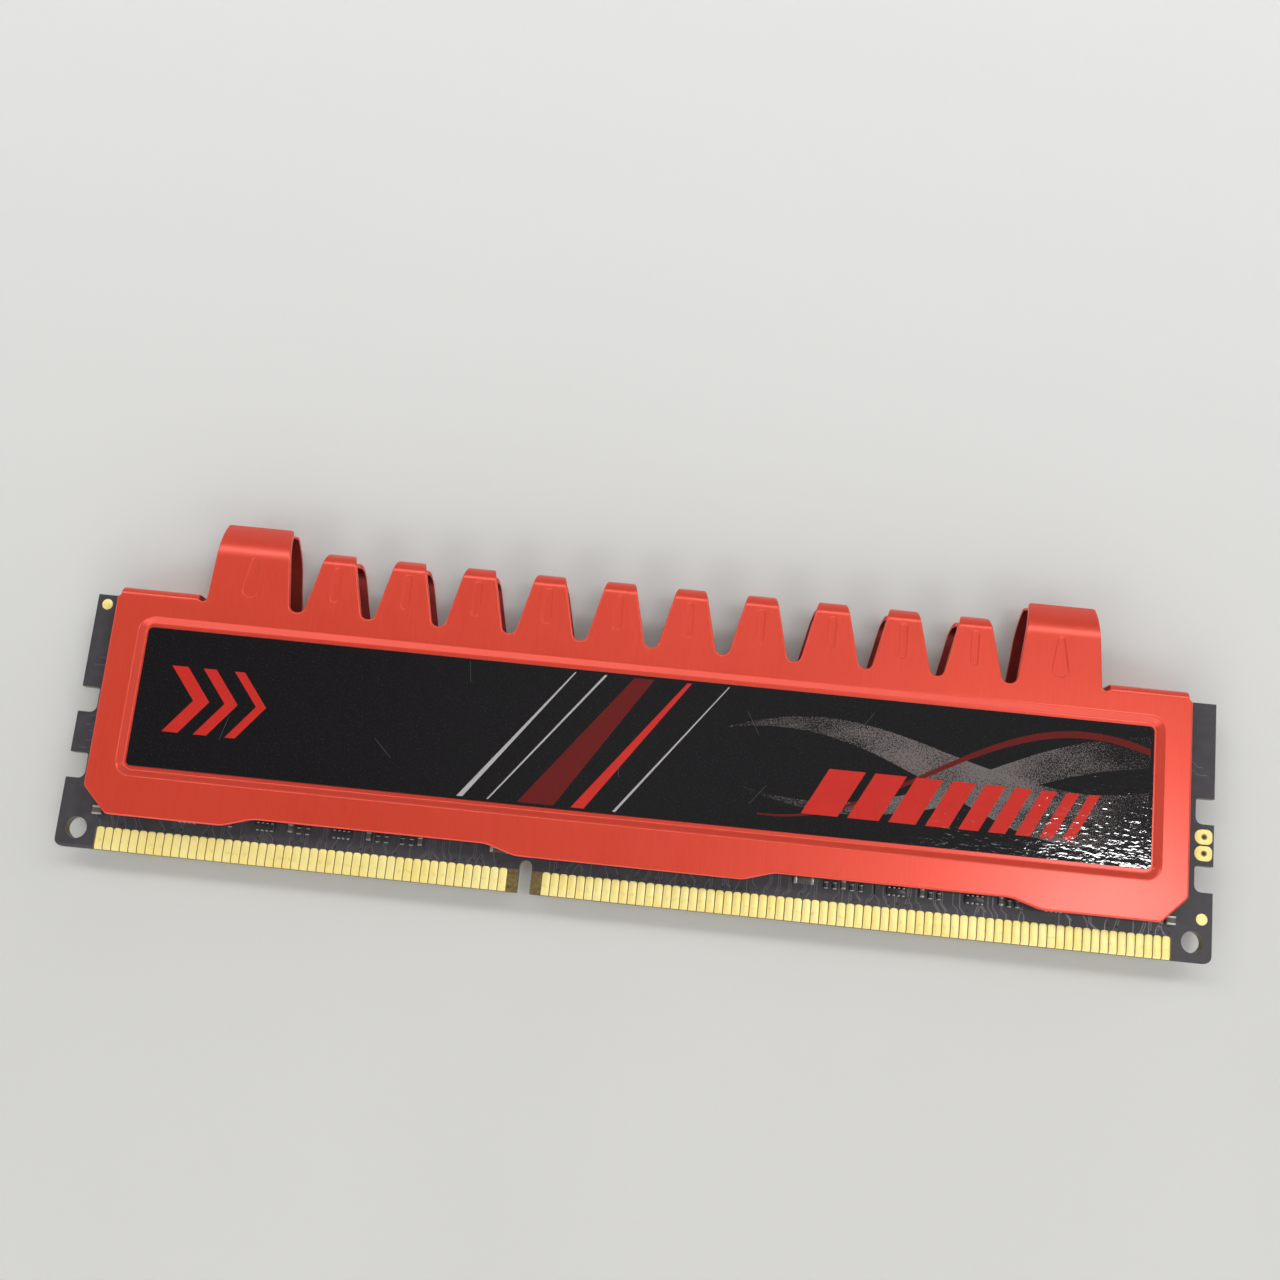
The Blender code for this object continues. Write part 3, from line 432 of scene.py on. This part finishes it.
def fill_between(bm, loops, up=True):
    """Fills the area inside the first loop and outside the others."""
    edges = set()
    for loop in loops:
        for index, vert in enumerate(loop):
            pair = (vert, loop[(index + 1) % len(loop)])
            edges.add(bm.edges.get(pair) or bm.edges.new(pair))
    made = bmesh.ops.triangle_fill(bm, edges=list(edges), use_beauty=True, normal=(0.0, 0.0, 1.0))
    for face in [item for item in made["geom"] if isinstance(item, bmesh.types.BMFace)]:
        face.normal_update()
        if (face.normal.z > 0.0) != up:
            face.normal_flip()


def rectangle(middle_x, middle_y, half_x, half_y, radius, steps):
    """Outline with round corners."""
    corners = ((-half_x, -half_y), (half_x, -half_y), (half_x, half_y), (-half_x, half_y))
    return fillet([(middle_x + x, middle_y + y, radius) for x, y in corners], steps)


def mark_outline(middle, low_radius, high_radius, low, high, steps=10):
    """Outline round a lower and an upper circle."""
    lean = math.asin((low_radius - high_radius) / (high - low))
    points = []
    for step in range(steps + 1):
        angle = lean + (math.pi - 2 * lean) * step / steps
        points.append((middle + high_radius * math.cos(angle), high + high_radius * math.sin(angle)))
    for step in range(steps + 1):
        angle = math.pi - lean + (math.pi + 2 * lean) * step / steps
        points.append((middle + low_radius * math.cos(angle), low + low_radius * math.sin(angle)))
    return points


def fin_side(middle, reach, shoulder_lean, tip_lean, shoulder_y, tip_y):
    """One side of a fin from its base to its tip. A negative reach is the left side."""
    sign = math.copysign(1.0, reach)
    return [
        (middle + reach, SLOT_BOTTOM, SLOT_RADIUS),
        (middle + reach - sign * shoulder_lean, shoulder_y, 0.0),
        (middle + reach - sign * tip_lean, tip_y, FIN_TIP_RADIUS),
    ]


def tall_fin_corners(sign):
    """The tall fin at the right end, or at the left end where sign is -1."""
    tip_y = TALL_ROLL_START + TALL_ROLL_RADIUS * TALL_ROLL_ANGLE
    share = (TALL_ROLL_START - SLOT_BOTTOM) / (tip_y - SLOT_BOTTOM)
    sides = []
    for reach, lean in ((sign, TALL_FIN_OUTER_LEAN), (-sign, TALL_FIN_INNER_LEAN)):
        sides.append(fin_side(sign * TALL_FIN_X, reach * TALL_FIN_BASE / 2, lean * share, lean,
                              TALL_ROLL_START, tip_y))
    outer, inner = sides
    outer[0] = (sign * (FLANGE_INNER_X - RELIEF_WIDTH), RELIEF_BOTTOM, RELIEF_RADIUS)
    return outer + inner[::-1] if sign > 0 else inner + outer[::-1]


def short_fin_corners(middle):
    """A short fin, from its right side to its left."""
    tip_y = SHORT_ROLL_START + SHORT_ROLL_RADIUS * SHORT_ROLL_ANGLE + SHORT_LIP
    right, left = (fin_side(middle, reach, SHORT_FIN_LEAN, SHORT_FIN_TIP_LEAN, SHORT_ROLL_START, tip_y)
                   for reach in (SHORT_FIN_BASE / 2, -SHORT_FIN_BASE / 2))
    return right + left[::-1]


def flange_corners(sign):
    """The folded flange beside a tall fin, laid flat."""
    bend_end = FLANGE_BEND_START + FLANGE_BEND_RADIUS * math.pi / 2
    end_y = bend_end + FACE_FROM_MIDDLE - FLANGE_BEND_RADIUS - FLANGE_HALF_GAP
    return [
        (sign * FLANGE_INNER_X, RELIEF_BOTTOM, RELIEF_RADIUS),
        (sign * FLANGE_INNER_X, end_y, FLANGE_TIP_RADIUS),
        (sign * FLANGE_OUTER_X, end_y, FLANGE_TIP_RADIUS),
        (sign * FLANGE_OUTER_X, FLANGE_BEND_START, 0.0),
        (sign * SPREADER_HALF, FLANGE_BEND_START - SHOULDER_DROP, 0.0),
    ]


def short_fin_middle(number):
    """X of a short fin, counted from the left."""
    return (number - (SHORT_FIN_COUNT - 1) / 2) * SHORT_FIN_PITCH


def spreader_outline():
    """The sheet laid flat, counterclockwise."""
    right = list(LOW_EDGE) + [(SPREADER_HALF + x, y, radius) for x, y, radius in CORNER_CUT]
    corners = [(-x, y, radius) for x, y, radius in reversed(right)] + right
    corners += flange_corners(1)[::-1] + tall_fin_corners(1)
    for number in reversed(range(SHORT_FIN_COUNT)):
        corners += short_fin_corners(short_fin_middle(number))
    return fillet(corners + tall_fin_corners(-1) + flange_corners(-1), 8)


def panel_outline(shrink):
    """Rim of the sunk panel, moved inwards."""
    half_height = (PANEL_TOP - PANEL_BOTTOM) / 2 - shrink
    return rectangle(0.0, (PANEL_BOTTOM + PANEL_TOP) / 2, PANEL_HALF - shrink, half_height, PANEL_RADIUS - shrink, 10)


def fin_mark(middle, mark):
    """Function that gives a fin mark's rim, moved inwards."""
    low_radius, high_radius, low, high = mark
    return lambda shrink: mark_outline(middle, low_radius - shrink, high_radius - shrink, low, high)


def sunk_areas():
    """Outline by inset, width of the step, its depth and its number of rings, for each pressed area."""
    areas = [(panel_outline, PANEL_STEP, PANEL_DEPTH, 12)]
    for number in range(SHORT_FIN_COUNT):
        areas.append((fin_mark(short_fin_middle(number), SHORT_MARK), MARK_STEP, MARK_DEPTH, 6))
    for middle in (-TALL_FIN_X, TALL_FIN_X):
        areas.append((fin_mark(middle, TALL_MARK), MARK_STEP, MARK_DEPTH, 6))
    return areas


def step_fall(share):
    """Depth of a pressed step across its width, both 0 to 1: two quarters of ease round a straight slope."""
    ease = min(share, 1.0 - share)
    fall = ease ** 2 / 0.375 if ease < 0.25 else (ease - 0.125) / 0.75
    return fall if share < 0.5 else 1.0 - fall


def add_sheet_side(bm, rim, depth, up):
    """One face of the sheet inside its rim, with every pressed area."""
    holes = []
    for outline, width, deep, steps in sunk_areas():
        rings = [ring(bm, outline(-HOLD), -depth)]
        for step in range(steps + 1):
            share = step / steps
            rings.append(ring(bm, outline(width * share), -depth - deep * step_fall(share)))
        rings.append(ring(bm, outline(width + HOLD), -depth - deep))
        for outer, inner in zip(rings, rings[1:]):
            bridge(bm, outer, inner) if up else bridge(bm, inner, outer)
        bm.faces.new(rings[-1] if up else rings[-1][::-1])
        holes.append(rings[0])
    fill_between(bm, [rim] + holes, up)


def paint_shade_under(bm):
    """Gives the faces of the sheet's inner side the darker red of painted shade, before it is bent."""
    for face in bm.faces:
        if face.calc_center_median().z < -SHEET + 0.001 and face.normal.z < -0.1:
            face.material_index = 1


def bend_of(x):
    """Height where the sheet's bend starts, its radius and its angle."""
    if abs(x) > RELIEF_MIDDLE_X:
        return FLANGE_BEND_START, FLANGE_BEND_RADIUS, math.pi / 2
    if abs(x) > TALL_SLOT_X:
        return TALL_ROLL_START, TALL_ROLL_RADIUS, TALL_ROLL_ANGLE
    return SHORT_ROLL_START, SHORT_ROLL_RADIUS, SHORT_ROLL_ANGLE


def cut_bend_rows(bm, low_x, high_x, steps):
    """Cuts the flat sheet across where it will bend, at low_x to high_x on both sides of the middle."""
    start, radius, angle = bend_of((low_x + high_x) / 2)
    rows = [start - BEND_LEAD] + [start + radius * angle * step / steps for step in range(steps + 1)]
    for row in rows:
        zone = [face for face in bm.faces if low_x < abs(face.calc_center_median().x) < high_x]
        edges = {edge for face in zone for edge in face.edges}
        verts = {vert for face in zone for vert in face.verts}
        bmesh.ops.bisect_plane(bm, geom=list(verts) + list(edges) + zone, dist=1e-5,
                               plane_co=(0.0, row, 0.0), plane_no=(0.0, 1.0, 0.0))


def bend_point(x, y, inward):
    """Height from the contact edge and height from the board's middle of a point of the bent sheet."""
    start, radius, angle = bend_of(x)
    if y <= start:
        return y, FACE_FROM_MIDDLE - inward
    turned = min((y - start) / radius, angle)
    beyond = max(0.0, y - start - radius * angle)
    reach = radius - inward
    bent = start + reach * math.sin(turned) + beyond * math.cos(turned)
    return bent, FACE_FROM_MIDDLE - radius + reach * math.cos(turned) - beyond * math.sin(turned)


def heat_spreader(side, side_name, metal, inner):
    """The stamped sheet with rounded edges, smooth rolls and soft pressed steps, with painted shade on its inner
    faces.
    """
    bm = bmesh.new()
    outline = spreader_outline()
    rounding = 4
    rings = []
    for step in range(rounding + 1):
        turn = math.pi / 2 * step / rounding
        across = EDGE_RADIUS * (1.0 - math.cos(turn))
        rings.append(ring(bm, inset(outline, across), -EDGE_RADIUS * (1.0 - math.sin(turn))))
    rings.append(ring(bm, inset(outline, EDGE_RADIUS + HOLD), 0.0))
    under = ring(bm, outline, -SHEET)
    bridge(bm, under, rings[0])
    for wide, narrow in zip(rings, rings[1:]):
        bridge(bm, wide, narrow)
    add_sheet_side(bm, rings[-1], 0.0, True)
    add_sheet_side(bm, under, SHEET, False)
    bm.normal_update()
    # The inner faces take the second material, a darker red that is painted shade.
    paint_shade_under(bm)
    cut_bend_rows(bm, RELIEF_MIDDLE_X, SPREADER_HALF, 8)
    cut_bend_rows(bm, TALL_SLOT_X, RELIEF_MIDDLE_X, 12)
    cut_bend_rows(bm, 0.0, TALL_SLOT_X, 12)
    for vert in bm.verts:
        y, height = bend_point(vert.co.x, vert.co.y, -vert.co.z)
        x = vert.co.x + SPREADER_SHIFT
        vert.co = (x * MM, (y - OVERALL_HEIGHT / 2) * MM, (MIDDLE_Z + side * height) * MM)
    if side < 0:
        bmesh.ops.reverse_faces(bm, faces=bm.faces[:])
    name = "heat_spreader_" + side_name
    piece = add_piece(name + "_finished", bm, [metal, inner], smooth_angle=42.0)
    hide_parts(name)


def slab(bm, points, low, high, bevel=0.0, index=0):
    """Upright solid from a counterclockwise outline in frame millimetres, with a rounded upper rim."""
    rings = [ring(bm, points, low), ring(bm, points, high - bevel)]
    if bevel > 0.0:
        rings.append(ring(bm, inset(points, bevel * 0.3), high - bevel * 0.3))
        rings.append(ring(bm, inset(points, bevel), high))
    faces = [bm.faces.new(rings[0][::-1]), bm.faces.new(rings[-1])]
    for lower, upper in zip(rings, rings[1:]):
        count = len(lower)
        for here in range(count):
            after = (here + 1) % count
            faces.append(bm.faces.new((lower[here], lower[after], upper[after], upper[here])))
    for face in faces:
        face.material_index = index
    return faces


def to_metres(bm, side=1):
    """Board millimetres to frame metres. Side -1 mirrors the shape to the back."""
    for vert in bm.verts:
        z = vert.co.z if side > 0 else 2 * MIDDLE_Z - vert.co.z
        vert.co = place(vert.co.x, vert.co.y, z)
    if side < 0:
        bmesh.ops.reverse_faces(bm, faces=bm.faces[:])


def contact_pads(metal):
    """Separate gold pads with round upper corners, which follow the bevel of the board's edge."""
    rises = ((CONTACT_LOW, 0.0), (BEVEL_HIGH, 0.0), (CONTACT_HIGH, CONTACT_RADIUS))
    for side, side_name in SIDES:
        for row_name, (first_x, count) in CONTACT_ROWS.items():
            bm = bmesh.new()
            for number in range(count):
                x = first_x + number
                corners = [(x - CONTACT_HALF, CONTACT_LOW, 0.0)]
                corners += [(x + CONTACT_HALF, y, radius) for y, radius in rises]
                corners += [(x - CONTACT_HALF, y, radius) for y, radius in rises[:0:-1]]
                slab(bm, fillet(corners, 4), BOARD_TOP_Z + 0.002, BOARD_TOP_Z + CONTACT_RISE, 0.02)
            for vert in bm.verts:
                vert.co.z -= BEVEL_DEPTH * max(0.0, BEVEL_HIGH - vert.co.y) / BEVEL_HIGH
            to_metres(bm, side)
            name = f"contact_pads_{side_name}_{row_name}"
            piece = add_piece(name, bm, [metal], smooth_angle=35.0)
            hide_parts(f"contacts_{side_name}_{row_name}")


def strip(bm, points, width, low, high, index=0):
    """A thin flat strip along a line of points."""
    line = [Vector(point) for point in points]
    runs = [(ahead - here).normalized() for here, ahead in zip(line, line[1:])]
    left, right = [], []
    for here, back, ahead in zip(line, [Vector((0, 0))] + runs, runs + [Vector((0, 0))]):
        run = (back + ahead).normalized()
        across = Vector((-run.y, run.x)) * width / 2
        left.append(here + across)
        right.append(here - across)
    for n in range(len(line) - 1):
        quad = [tuple(right[n]), tuple(right[n + 1]), tuple(left[n + 1]), tuple(left[n])]
        slab(bm, quad, low, high, 0.0, index)


def disc(x, y, radius, steps):
    """Round outline."""
    return [(x + radius * math.cos(2 * math.pi * n / steps), y + radius * math.sin(2 * math.pi * n / steps))
            for n in range(steps)]


def traces(track, via_hole_shade):
    """Copper tracks under the mask, and vias drawn as near-black discs of painted shade, between the contacts and the
    chips.
    """
    middles = [first_x + number for first_x, count in CONTACT_ROWS.values() for number in range(count)]
    top = BOARD_TOP_Z + TRACK_RISE
    chips_low = 5.9
    for side, side_name in SIDES:
        pick = random.Random(11 + side)
        bm = bmesh.new()
        for x in middles:
            if pick.random() < 0.12:
                continue
            lean = pick.choice((-1.0, -1.0, 0.0, 0.6, 1.0)) * (0.6 if x > 66 else -0.6)
            knee = 2.75 + pick.random() * 0.7
            far = knee + pick.random() * 0.6 + 0.5
            x0 = x + pick.choice((-0.22, 0.0, 0.22))
            line = [(x0, 2.55), (x0, knee), (x0 + lean, far), (x0 + lean, chips_low)]
            strip(bm, line, TRACK_WIDTH, BOARD_TOP_Z, top)
            if pick.random() < 0.5:
                x1 = x0 + 0.24
                line = [(x1, knee - 0.1), (x1 + lean, far - 0.1), (x1 + lean, chips_low)]
                strip(bm, line, TRACK_WIDTH, BOARD_TOP_Z, top)
            if pick.random() < 0.45:
                # Painted shade: a near-black disc stands in for the shaded inside of a via hole.
                hole = disc(x + 0.3, 2.98 + pick.random() * 0.25, 0.17, 12)
                slab(bm, hole, BOARD_TOP_Z, top + 0.003, 0.0, 1)
        for y in (11.6, 12.45, 13.6, 14.35, 15.4, 21.5, 22.4):
            reach = pick.random()
            for x0, direction in ((0.45, 1), (132.9, -1)):
                if 11.0 < y < 15.8 and direction < 0:
                    continue
                line = [(x0 + direction * (0.3 + reach), y), (x0 + direction * 1.6, y),
                        (x0 + direction * 2.1, y + 0.5), (x0 + direction * 4.5, y + 0.5)]
                strip(bm, line, TRACK_WIDTH, BOARD_TOP_Z, top)
        to_metres(bm, side)
        add_piece("board_tracks_" + side_name, bm, [track, via_hole_shade])


def gold_features(metal, dark, hole_wall_shade):
    """Round fiducials, and D-shaped pads with a small hole at the board's right side, the hole painted as a dark disc
    in a brown ring of painted shade.
    """
    bm = bmesh.new()
    top = BOARD_TOP_Z + PAD_RISE
    right = 133.18
    for x, y, radius in ((1.2, 28.85, 0.64), (132.15, 4.95, 0.66)):
        slab(bm, disc(x, y, radius, 32), BOARD_TOP_Z, top, 0.02)
    for y in (14.35, 12.45):
        outline = fillet([(right, y - 0.86, 0.6), (right, y + 0.86, 0.6), (right - 2.05, y + 0.86, 0.85),
                          (right - 2.05, y - 0.86, 0.85)], 8)
        slab(bm, outline, BOARD_TOP_Z, top, 0.02)
        # Painted shade: a brown ring and a near-black disc stand in for the shaded wall and inside of the hole.
        slab(bm, disc(right - 0.95, y, 0.36, 24), top - 0.005, top + 0.002, 0.0, 2)
        slab(bm, disc(right - 0.95, y, 0.24, 20), top - 0.005, top + 0.004, 0.0, 1)
    to_metres(bm)
    add_piece("gold_test_pads", bm, [metal, dark, hole_wall_shade], smooth_angle=35.0)


def ribbon(bm, low_x, high_x, middle, half, level, ink, steps=60):
    """Curved printed band. middle(x) and half(x) give its centre line and half width."""
    rows = []
    for step in range(steps + 1):
        x = low_x + (high_x - low_x) * step / steps
        rows.append([bm.verts.new((x, middle(x) + sign * half(x), level)) for sign in (-1, 1)])
    for first, second in zip(rows, rows[1:]):
        bm.faces.new((first[0], second[0], second[1], first[1])).material_index = ink


def label_print(inks):
    """Generic print: chevrons, slanted bars, thin lines and waves. No words."""
    low = LABEL_Z + PRINT_LIFT
    bm = bmesh.new()

    def bar(x, y, width, height, lean, level, ink, taper=1.0):
        quad = [(x, y), (x + width, y), (x + width * taper + lean, y + height), (x + lean, y + height)]
        slab(bm, quad, low, low + level, 0.0, ink)

    def fade(x):
        return min(1.0, (x - 10.0) / 34.0)

    for n in range(3):
        x, y, reach, stroke = -55.5 + 3.7 * n, 18.05, 3.1, 1.9 - 0.35 * n
        for up in (1, -1):
            quad = [(x + reach, y), (x + reach + stroke, y), (x + stroke, y + up * 3.9), (x, y + up * 3.9)]
            slab(bm, quad if up > 0 else quad[::-1], low, low + 0.006, 0.0, RED)
    for x, width, level, ink, taper in ((-20.5, 0.7, 0.006, SILVER, 0.25), (-17.0, 0.2, 0.006, SILVER, 1.6),
                                        (-13.5, 4.2, 0.004, DARK_RED, 0.55), (-7.3, 1.5, 0.005, RED, 0.35),
                                        (-2.5, 0.35, 0.006, SILVER, 0.4)):
        bar(x, LABEL_BOTTOM + 0.35, width, 15.7, 12.0, level, ink, taper)
    ribbon(bm, 10.0, 58.6, lambda x: 18.6 + 4.0 * math.sin((x - 2.0) / 10.5),
           lambda x: 0.05 + 3.0 * fade(x), low + 0.002, GRAIN)
    ribbon(bm, 12.0, 58.6, lambda x: 18.2 - 5.0 * math.sin((x - 2.0) / 12.5),
           lambda x: 0.05 + 1.8 * max(0.0, fade(x - 2.0)), low + 0.0035, GRAIN)
    ribbon(bm, 14.0, 58.6, lambda x: 18.05 - 6.4 * math.sin((x + 3.0) / 11.5),
           lambda x: 0.05 + 0.35 * fade(x), low + 0.005, DARK_RED)
    x = 19.0
    for number in range(9):
        width = 4.2 * 0.86 ** number
        bar(x, 12.2, width, 5.4, 2.9, 0.008, RED)
        x += width + 1.1
    pick = random.Random(5)
    for _ in range(9):
        x, y = pick.uniform(-50, 52), pick.uniform(11.0, 24.0)
        turn, reach = pick.uniform(0.9, 2.4), pick.uniform(0.8, 3.2)
        end = (x + reach * math.cos(turn), min(26.0, y + reach * math.sin(turn)))
        strip(bm, [(x, y), end], 0.035, low + 0.008, low + 0.009, SCRATCH)
    to_metres_centred(bm)
    add_piece("label_print_front", bm, inks)


def to_metres_centred(bm):
    """As to_metres, with X counted from the spreader's middle."""
    for vert in bm.verts:
        vert.co = place(vert.co.x + BOARD_LENGTH / 2 + SPREADER_SHIFT, vert.co.y, vert.co.z)


def labels(black):
    """Film with round corners and a fine lifted rim, front and back."""
    for side, side_name in SIDES:
        bm = bmesh.new()
        middle_x, middle_y = BOARD_LENGTH / 2 + SPREADER_SHIFT, (LABEL_BOTTOM + LABEL_TOP) / 2
        outline = rectangle(middle_x, middle_y, LABEL_HALF, (LABEL_TOP - LABEL_BOTTOM) / 2, 0.6, 8)
        slab(bm, outline, LABEL_Z - FILM, LABEL_Z, 0.03)
        to_metres(bm, side)
        piece = add_piece(f"label_{side_name}_finished", bm, [black])
        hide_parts("label_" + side_name)


def block(bm, x, y, size, low, high, bevel, index):
    """Box with softened upper edges, from its middle and its size across and along."""
    half_x, half_y = size[0] / 2, size[1] / 2
    slab(bm, rectangle(x, y, half_x, half_y, min(half_x, half_y, 0.07), 2), low, high, bevel, index)


def small_parts(looks):
    """Bodies with separate tinned ends and solder, in the places of the small solids."""
    for name, made in looks.items():
        low, high = (tuple(value / MM for value in corner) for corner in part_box(name))
        x = (low[0] + high[0]) / 2 + BOARD_LENGTH / 2
        y = (low[1] + high[1]) / 2 + OVERALL_HEIGHT / 2
        across, along = high[0] - low[0], high[1] - low[1]
        base, top = low[2], high[2]
        solder_low, solder_top = base - 0.04, top + 0.01
        bm = bmesh.new()
        if name.startswith("resistor_array"):
            block(bm, x, y, (across, along - 0.24), base, top, 0.03, 0)
            for number in range(4):
                middle = x + (number - 1.5) * across / 4
                for sign in (-1, 1):
                    block(bm, middle, y + sign * (along / 2 - 0.1), (0.3, 0.2), solder_low, solder_top, 0.05, 1)
        elif name.startswith("wide"):
            block(bm, x, y, (across - 0.1, along), base, top, 0.04, 0)
            for sign in (-1, 1):
                size = (0.4, along + 0.02)
                block(bm, x + sign * (across / 2 - 0.2), y, size, solder_low, solder_top, 0.06, 1)
        else:
            end = 0.16 if name.startswith("resistor") else 0.24
            block(bm, x, y, (across, along - 0.1), base, top, 0.03, 0)
            for sign in (-1, 1):
                size = (across + 0.02, end)
                block(bm, x, y + sign * (along / 2 - end / 2), size, solder_low, solder_top, 0.05, 1)
        to_metres(bm)
        piece = add_piece(name + "_finished", bm, made[1], smooth_angle=35.0)
        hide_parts(name)


def dress_nodes(frame, mask, tin):
    """Materials of the solids that stay, and finished pieces for the small parts."""
    mould = grainy("chip_mould", (0.022, 0.022, 0.024), (0.036, 0.036, 0.038), 0.55)
    tape = grainy("thermal_tape", (0.42, 0.43, 0.45), (0.55, 0.56, 0.58), 0.8, 4.0, 0.6)
    glaze = grainy("resistor_glaze", (0.018, 0.018, 0.02), (0.04, 0.04, 0.045), 0.3)
    brown = grainy("capacitor_ceramic", (0.065, 0.055, 0.045), (0.11, 0.09, 0.075), 0.4)
    resistor = ("resistor_ceramic", [glaze, tin])
    capacitor = ("capacitor_ceramic", [brown, tin])
    kept = (("circuit_board", mask), ("memory_chip", mould), ("configuration_memory", mould),
            ("thermal_pad", tape))
    replaced = {}
    for name, thing in frame["nodes"].items():
        for start, made in kept:
            if name.startswith(start):
                thing.data.materials.clear()
                thing.data.materials.append(made)
        if name.startswith("resistor"):
            replaced[name] = resistor
        elif "capacitor" in name:
            replaced[name] = capacitor
    small_parts(replaced)


# ---------------------------------------------------------------- stage, light and camera

def add_area(name, location, target, size, power):
    """Rectangular lamp that shines towards a point."""
    light = bpy.data.lights.new(name, "AREA")
    light.shape = "RECTANGLE"
    light.size, light.size_y = size
    light.energy = power
    thing = bpy.data.objects.new(name, light)
    thing.location = location
    thing.rotation_euler = (Vector(target) - Vector(location)).to_track_quat("-Z", "Y").to_euler()
    bpy.context.scene.collection.objects.link(thing)


def set_stage():
    """The table, just below the part."""
    bm = bmesh.new()
    bmesh.ops.create_grid(bm, x_segments=8, y_segments=8, size=4.0)
    mesh = bpy.data.meshes.new("table")
    bm.to_mesh(mesh)
    bm.free()
    mesh.materials.append(table_top())
    table = bpy.data.objects.new("table", mesh)
    table.location = (0.0, 0.0, -0.00003)
    bpy.context.scene.collection.objects.link(table)


def fill_ramp(ramp, stops):
    """Grey levels of a colour ramp, as (place, level)."""
    elements = ramp.color_ramp.elements
    while len(elements) < len(stops):
        elements.new(0.5)
    for element, (where, level) in zip(elements, stops):
        element.position = where
        element.color = (level, level, level, 1.0)


def set_world():
    """Soft room light: a sky overhead that grows brighter towards +X, light strips, and an even horizon."""
    world = bpy.data.worlds.new("soft_room")
    bpy.context.scene.world = world
    world.use_nodes = True
    tree = world.node_tree
    background = tree.nodes["Background"]
    direction = node(tree, "TexCoord").outputs["Generated"]
    x, y, z = node(tree, "SeparateXYZ", {0: direction}).outputs
    across = ranged(tree, x, -0.4, 0.4, 0.0, 1.0)
    ramp = node(tree, "ValToRGB", {0: across})
    fill_ramp(ramp, ((0.0, 0.09), (0.2, 0.13), (0.42, 0.38), (0.62, 0.38), (1.0, 0.42)))
    deep = node(tree, "ValToRGB", {0: ranged(tree, y, -1.0, 1.0, 0.0, 1.0)})
    fill_ramp(deep, ((0.0, 0.68), (0.70, 0.68), (0.715, 9.0), (0.76, 9.0), (0.78, 0.45), (1.0, 0.3)))
    beside = ranged(tree, sums(tree, "ABSOLUTE", x), 0.12, 0.4, 0.0, 1.0)
    strip_light = ranged(tree, sums(tree, "ABSOLUTE", sums(tree, "ADD", y, 0.63)), 0.09, 0.16, 1.0, 0.0)
    front = mixed(tree, strip_light, (0.7, 0.7, 0.71), (5.5, 5.5, 5.5))
    front = mixed(tree, beside, (0.4, 0.4, 0.4), front)
    around = mixed(tree, ranged(tree, y, -0.12, -0.27, 0.0, 1.0), deep.outputs[0], front)
    low = ranged(tree, z, 0.55, 0.82, 1.0, 0.0)
    far = ranged(tree, sums(tree, "ABSOLUTE", y), 0.28, 0.36, 0.0, 1.0)
    far = sums(tree, "MAXIMUM", far, ranged(tree, sums(tree, "ABSOLUTE", x), 0.44, 0.52, 0.0, 1.0))
    tint = mixed(tree, sums(tree, "MAXIMUM", low, far), ramp.outputs[0], around)
    tint = mixed(tree, ranged(tree, z, 0.4, 0.5, 1.0, 0.0), tint, (1.03, 1.03, 1.03))
    tree.links.new(tint, background.inputs[0])
    background.inputs[1].default_value = ROOM_LIGHT


def set_camera():
    """The photograph's camera, solved from the contact row, in its own axes and in millimetres."""
    camera = bpy.data.cameras.new("camera")
    camera.sensor_width = 36.0
    camera.lens = 39.375
    camera.clip_start = 0.005
    camera.clip_end = 20.0
    thing = bpy.data.objects.new("camera", camera)
    spin = Vector((2.9360165, 0.148601724, -0.0203263318))
    turn = Matrix.Rotation(spin.length, 3, spin.normalized())
    shift = Vector((-67.8702201, 23.7149534, 161.927207))
    eye = -(turn.transposed() @ shift)
    facing = (turn.transposed() @ Matrix(((1, 0, 0), (0, -1, 0), (0, 0, -1)))).to_4x4()
    spot = place(eye.x, eye.y, eye.z + BOARD_TOP_Z)
    thing.matrix_world = Matrix.Translation(spot) @ facing
    bpy.context.scene.collection.objects.link(thing)
    bpy.context.scene.camera = thing


def main():
    """Builds the dressed part and its stage."""
    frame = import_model()
    metal = red_metal()
    mask = solder_mask()
    plating = gold()
    black = film("label_black", (0.010, 0.009, 0.010))
    inks = [
        film("ink_red", (0.55, 0.030, 0.022)),
        film("ink_dark_red", (0.13, 0.012, 0.010)),
        film("ink_silver", (0.42, 0.40, 0.40)),
        film("ink_grey_grain", (0.010, 0.009, 0.010), (0.17, 0.145, 0.14), grain_fade(5.0, 40.0)),
        film("scratch_grey", (0.10, 0.10, 0.10)),
    ]
    track = grainy("tracks_under_mask", (0.075, 0.070, 0.076), (0.105, 0.098, 0.105), 0.3)
    # Near-black for via and pad holes: painted shade of their insides.
    via_hole_shade = grainy("via_hole_painted_shade", (0.012, 0.011, 0.011), (0.02, 0.018, 0.018), 0.5)
    silver = grainy("tinned", (0.36, 0.35, 0.33), (0.55, 0.54, 0.51), 0.35, 3.0, 0.3, 0.8)
    # Darker red for the spreaders' inner faces: painted shade, as the real inner side is the same red.
    inner = grainy("red_inner_painted_shade", (0.21, 0.012, 0.008), (0.27, 0.017, 0.011), 0.5, 2.0, 0.2, 0.5)
    heat_spreader(1, "front", metal, inner)
    heat_spreader(-1, "back", metal, inner)
    labels(black)
    label_print(inks)
    contact_pads(plating)
    traces(track, via_hole_shade)
    # Brown ring round the pads' holes: painted shade of the hole's wall.
    hole_wall_shade = grainy("gold_hole_painted_shade", (0.26, 0.18, 0.05), (0.42, 0.31, 0.09), 0.45, 3.0, 0.3, 0.4)
    gold_features(plating, via_hole_shade, hole_wall_shade)
    dress_nodes(frame, mask, silver)
    bpy.context.scene.view_settings.view_transform = "Standard"
    set_stage()
    set_world()
    for name, location, target, size, power in LAMPS:
        add_area(name, location, target, size, power)
    set_camera()


main()
